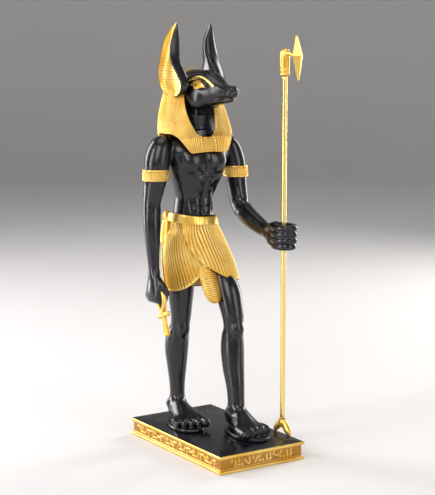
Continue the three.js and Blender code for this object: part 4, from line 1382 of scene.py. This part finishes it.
class FIGURINE_OT_head(bpy.types.Operator):
    """Builds the jackal's head with its gilded eyes and brows, and both ears"""

    bl_idname = "figurine.head"
    bl_label = "Head and ears"

    def execute(self, context):
        skin = finish("black_skin")
        points, quads, gild = build_head()
        make_piece("head", "figure", "black", skin, points, quads, gilding=gild, wash=0 * gild)
        for name, side in (("ear_right", -1), ("ear_left", 1)):
            points, faces, gild, wash = build_ear(side)
            make_piece(name, "figure", "black", skin, points, faces, gilding=gild, wash=wash)
        return {"FINISHED"}


class FIGURINE_OT_cloth(bpy.types.Operator):
    """Builds the gilded headcloth, kilt panels, belt, knot, tab and armbands"""

    bl_idname = "figurine.cloth"
    bl_label = "Gilded cloth"

    def execute(self, context):
        gold = finish("cloth_gold")
        lined = finish("gold_over_black")
        points, faces, wash, gild = build_headcloth()
        make_piece("headcloth", "figure", "gold", lined, points, faces, wash=wash, gilding=gild)
        points, faces, wash = build_kilt_panel(LAP_BACK - 6, -116, 170, 70, -0.5, None, LAP_EDGE)
        make_piece("kilt_right_panel", "figure", "gold", gold, points, faces, wash=wash)
        points, faces, wash = build_kilt_panel(-116, LAP_BACK + 360, 420, 60, 0.7, LAP_EDGE, None)
        make_piece("kilt_left_panel", "figure", "gold", gold, points, faces, wash=wash)
        # The underside below the kilt is set fully brown as painted shade.
        points, faces = build_kilt_underside()
        make_piece("kilt_shaded_underside", "figure", "gold", gold, points, faces, wash=np.ones(len(points)))
        points, faces, wash = build_belt()
        make_piece("belt", "figure", "gold", finish("cast_gold"), points, faces, wash=wash)
        points, faces, wash = build_tab()
        make_piece("kilt_tab", "figure", "gold", gold, points, faces, wash=wash)
        points, quads = build_knot()
        make_piece("belt_knot", "figure", "gold", gold, points, quads, wash=np.full(len(points), 0.2))
        for name, shape in ARMBANDS.items():
            points, faces, wash = build_armband(*shape)
            make_piece(name, "figure", "gold", gold, points, faces, wash=wash)
        return {"FINISHED"}


class FIGURINE_OT_castings(bpy.types.Operator):
    """Builds the ankh, the sceptre and the plinth"""

    bl_idname = "figurine.castings"
    bl_label = "Ankh, sceptre and plinth"

    def execute(self, context):
        gold = finish("cast_gold")
        builds = {"ankh": build_ankh, "staff_head": build_staff_head, "staff_foot": build_staff_foot}
        for name, build in builds.items():
            points, quads = build()
            make_piece(name + "_casting", name, "gold", gold, points, quads, wash=np.full(len(points), 0.15))
        points, faces = build_staff_shaft()
        make_piece("staff_rod", "staff_shaft", "rod", finish("rod_metal"), points, faces)
        points, faces, wash, gild = build_plinth()
        lined = finish("gold_over_black")
        make_piece("plinth_casting", "plinth", "gold", lined, points, faces, wash=wash, gilding=gild)
        return {"FINISHED"}


CAMERA_PLACE = (-0.5286, -0.8156, 0.2902)
CAMERA_BEARING = -33.05
CAMERA_DIP = 8.57
CAMERA_LENS = 101.9
LIGHTS = [
    # name, place, width, height, power in watts, colour
    ("left_edge", (-0.45, 0.85, 0.35), 0.3, 1.0, 9, (1, 0.98, 1)),
    ("left_strip", (-1.15, 0.1, 0.4), 0.25, 1.1, 8, (1, 0.98, 1)),
    ("right_edge", (0.95, 0.2, 0.35), 0.3, 1.0, 8, (1, 0.98, 0.96)),
    ("front_soft", (-0.9, -0.9, 0.9), 0.7, 0.9, 8, (1, 1, 1)),
    ("right_soft", (0.4, -1.3, 0.5), 0.6, 0.9, 5, (1, 0.98, 0.95)),
    ("top_soft", (-0.1, -0.1, 1.5), 1.0, 1.0, 5, (1, 1, 1)),
]


class FIGURINE_OT_stage(bpy.types.Operator):
    """Makes the pale floor, the soft studio lights and the camera"""

    bl_idname = "figurine.stage"
    bl_label = "Stage"

    def execute(self, context):
        material, tree, shader = new_material("stage_paper")
        shader.inputs["Base Color"].default_value = (*colours().floor, 1)
        shader.inputs["Roughness"].default_value = 0.9
        sides = 96
        profile = [
            [0.001, 0], [0.6, 0], [1.6, 0], [2.4, 0.02], [2.9, 0.25], [3.2, 0.8], [3.3, 1.8], [3.3, 3.2]]
        rings = curve([[r, z, 0] for r, z in profile], 0.08)
        angle = np.arange(sides) * 2 * np.pi / sides
        grid = np.stack([rings[:, :1] * np.cos(angle), rings[:, :1] * np.sin(angle),
                         rings[:, 1:2] - 0.0001 + 0 * angle], -1)
        near = np.arange(grid.shape[0] * sides).reshape(-1, sides)
        far = np.roll(near, -1, 1)
        faces = np.stack([near[:-1], far[:-1], far[1:], near[1:]], -1).reshape(-1, 4)
        mesh = bpy.data.meshes.new("stage_sweep")
        mesh.from_pydata(grid.reshape(-1, 3).tolist(), [], faces.tolist())
        mesh.shade_smooth()
        mesh.materials.append(material)
        floor = bpy.data.objects.new("stage_sweep", mesh)
        context.scene.collection.objects.link(floor)
        context.scene.view_settings.view_transform = "Standard"
        self.add_lights(context.scene)
        self.add_camera(context.scene)
        return {"FINISHED"}

    def add_lights(self, scene):
        for name, place, width, height, power, colour in LIGHTS:
            light = bpy.data.lights.new(name, "AREA")
            light.shape = "RECTANGLE"
            light.size, light.size_y = width, height
            light.energy = power
            light.color = colour
            lamp = bpy.data.objects.new(name, light)
            lamp.location = place
            lamp.rotation_euler = (Vector((0, 0, 0.15)) - lamp.location).to_track_quat("-Z", "Y").to_euler()
            scene.collection.objects.link(lamp)
        world = bpy.data.worlds.new("soft_room")
        world.use_nodes = True
        world.node_tree.nodes["Background"].inputs["Color"].default_value = (1, 1, 1, 1)
        world.node_tree.nodes["Background"].inputs["Strength"].default_value = 0.2
        scene.world = world

    def add_camera(self, scene):
        camera = bpy.data.cameras.new("camera")
        camera.lens = CAMERA_LENS
        camera.sensor_width = 36
        camera.sensor_fit = "AUTO"
        holder = bpy.data.objects.new("camera", camera)
        holder.location = CAMERA_PLACE
        holder.rotation_euler = (math.radians(90 - CAMERA_DIP), 0, math.radians(CAMERA_BEARING))
        scene.collection.objects.link(holder)
        scene.camera = holder


class FIGURINE_PT_panel(bpy.types.Panel):
    """Lists the figurine's parts in the order in which they are built"""

    bl_idname = "FIGURINE_PT_panel"
    bl_label = "Figurine"
    bl_space_type = "VIEW_3D"
    bl_region_type = "UI"
    bl_category = "Figurine"

    def draw(self, context):
        for group in (context.scene.figurine_sizes, context.scene.figurine_colours):
            for name in group.bl_rna.properties.keys():
                if name not in ("rna_type", "name"):
                    self.layout.prop(group, name)
        for operator in OPERATORS:
            self.layout.operator(operator.bl_idname)


OPERATORS = (
    FIGURINE_OT_finishes,
    FIGURINE_OT_body,
    FIGURINE_OT_head,
    FIGURINE_OT_cloth,
    FIGURINE_OT_castings,
    FIGURINE_OT_stage,
)
CLASSES = (FigurineSizes, FigurineColours, *OPERATORS, FIGURINE_PT_panel)


def register():
    for item in CLASSES:
        bpy.utils.register_class(item)
    bpy.types.Scene.figurine_sizes = PointerProperty(type=FigurineSizes)
    bpy.types.Scene.figurine_colours = PointerProperty(type=FigurineColours)


def unregister():
    del bpy.types.Scene.figurine_sizes
    del bpy.types.Scene.figurine_colours
    for item in reversed(CLASSES):
        bpy.utils.unregister_class(item)


def main():
    register()
    bpy.ops.figurine.finishes()
    bpy.ops.figurine.body()
    bpy.ops.figurine.head()
    bpy.ops.figurine.cloth()
    bpy.ops.figurine.castings()
    bpy.ops.figurine.stage()


if __name__ == "__main__":
    main()
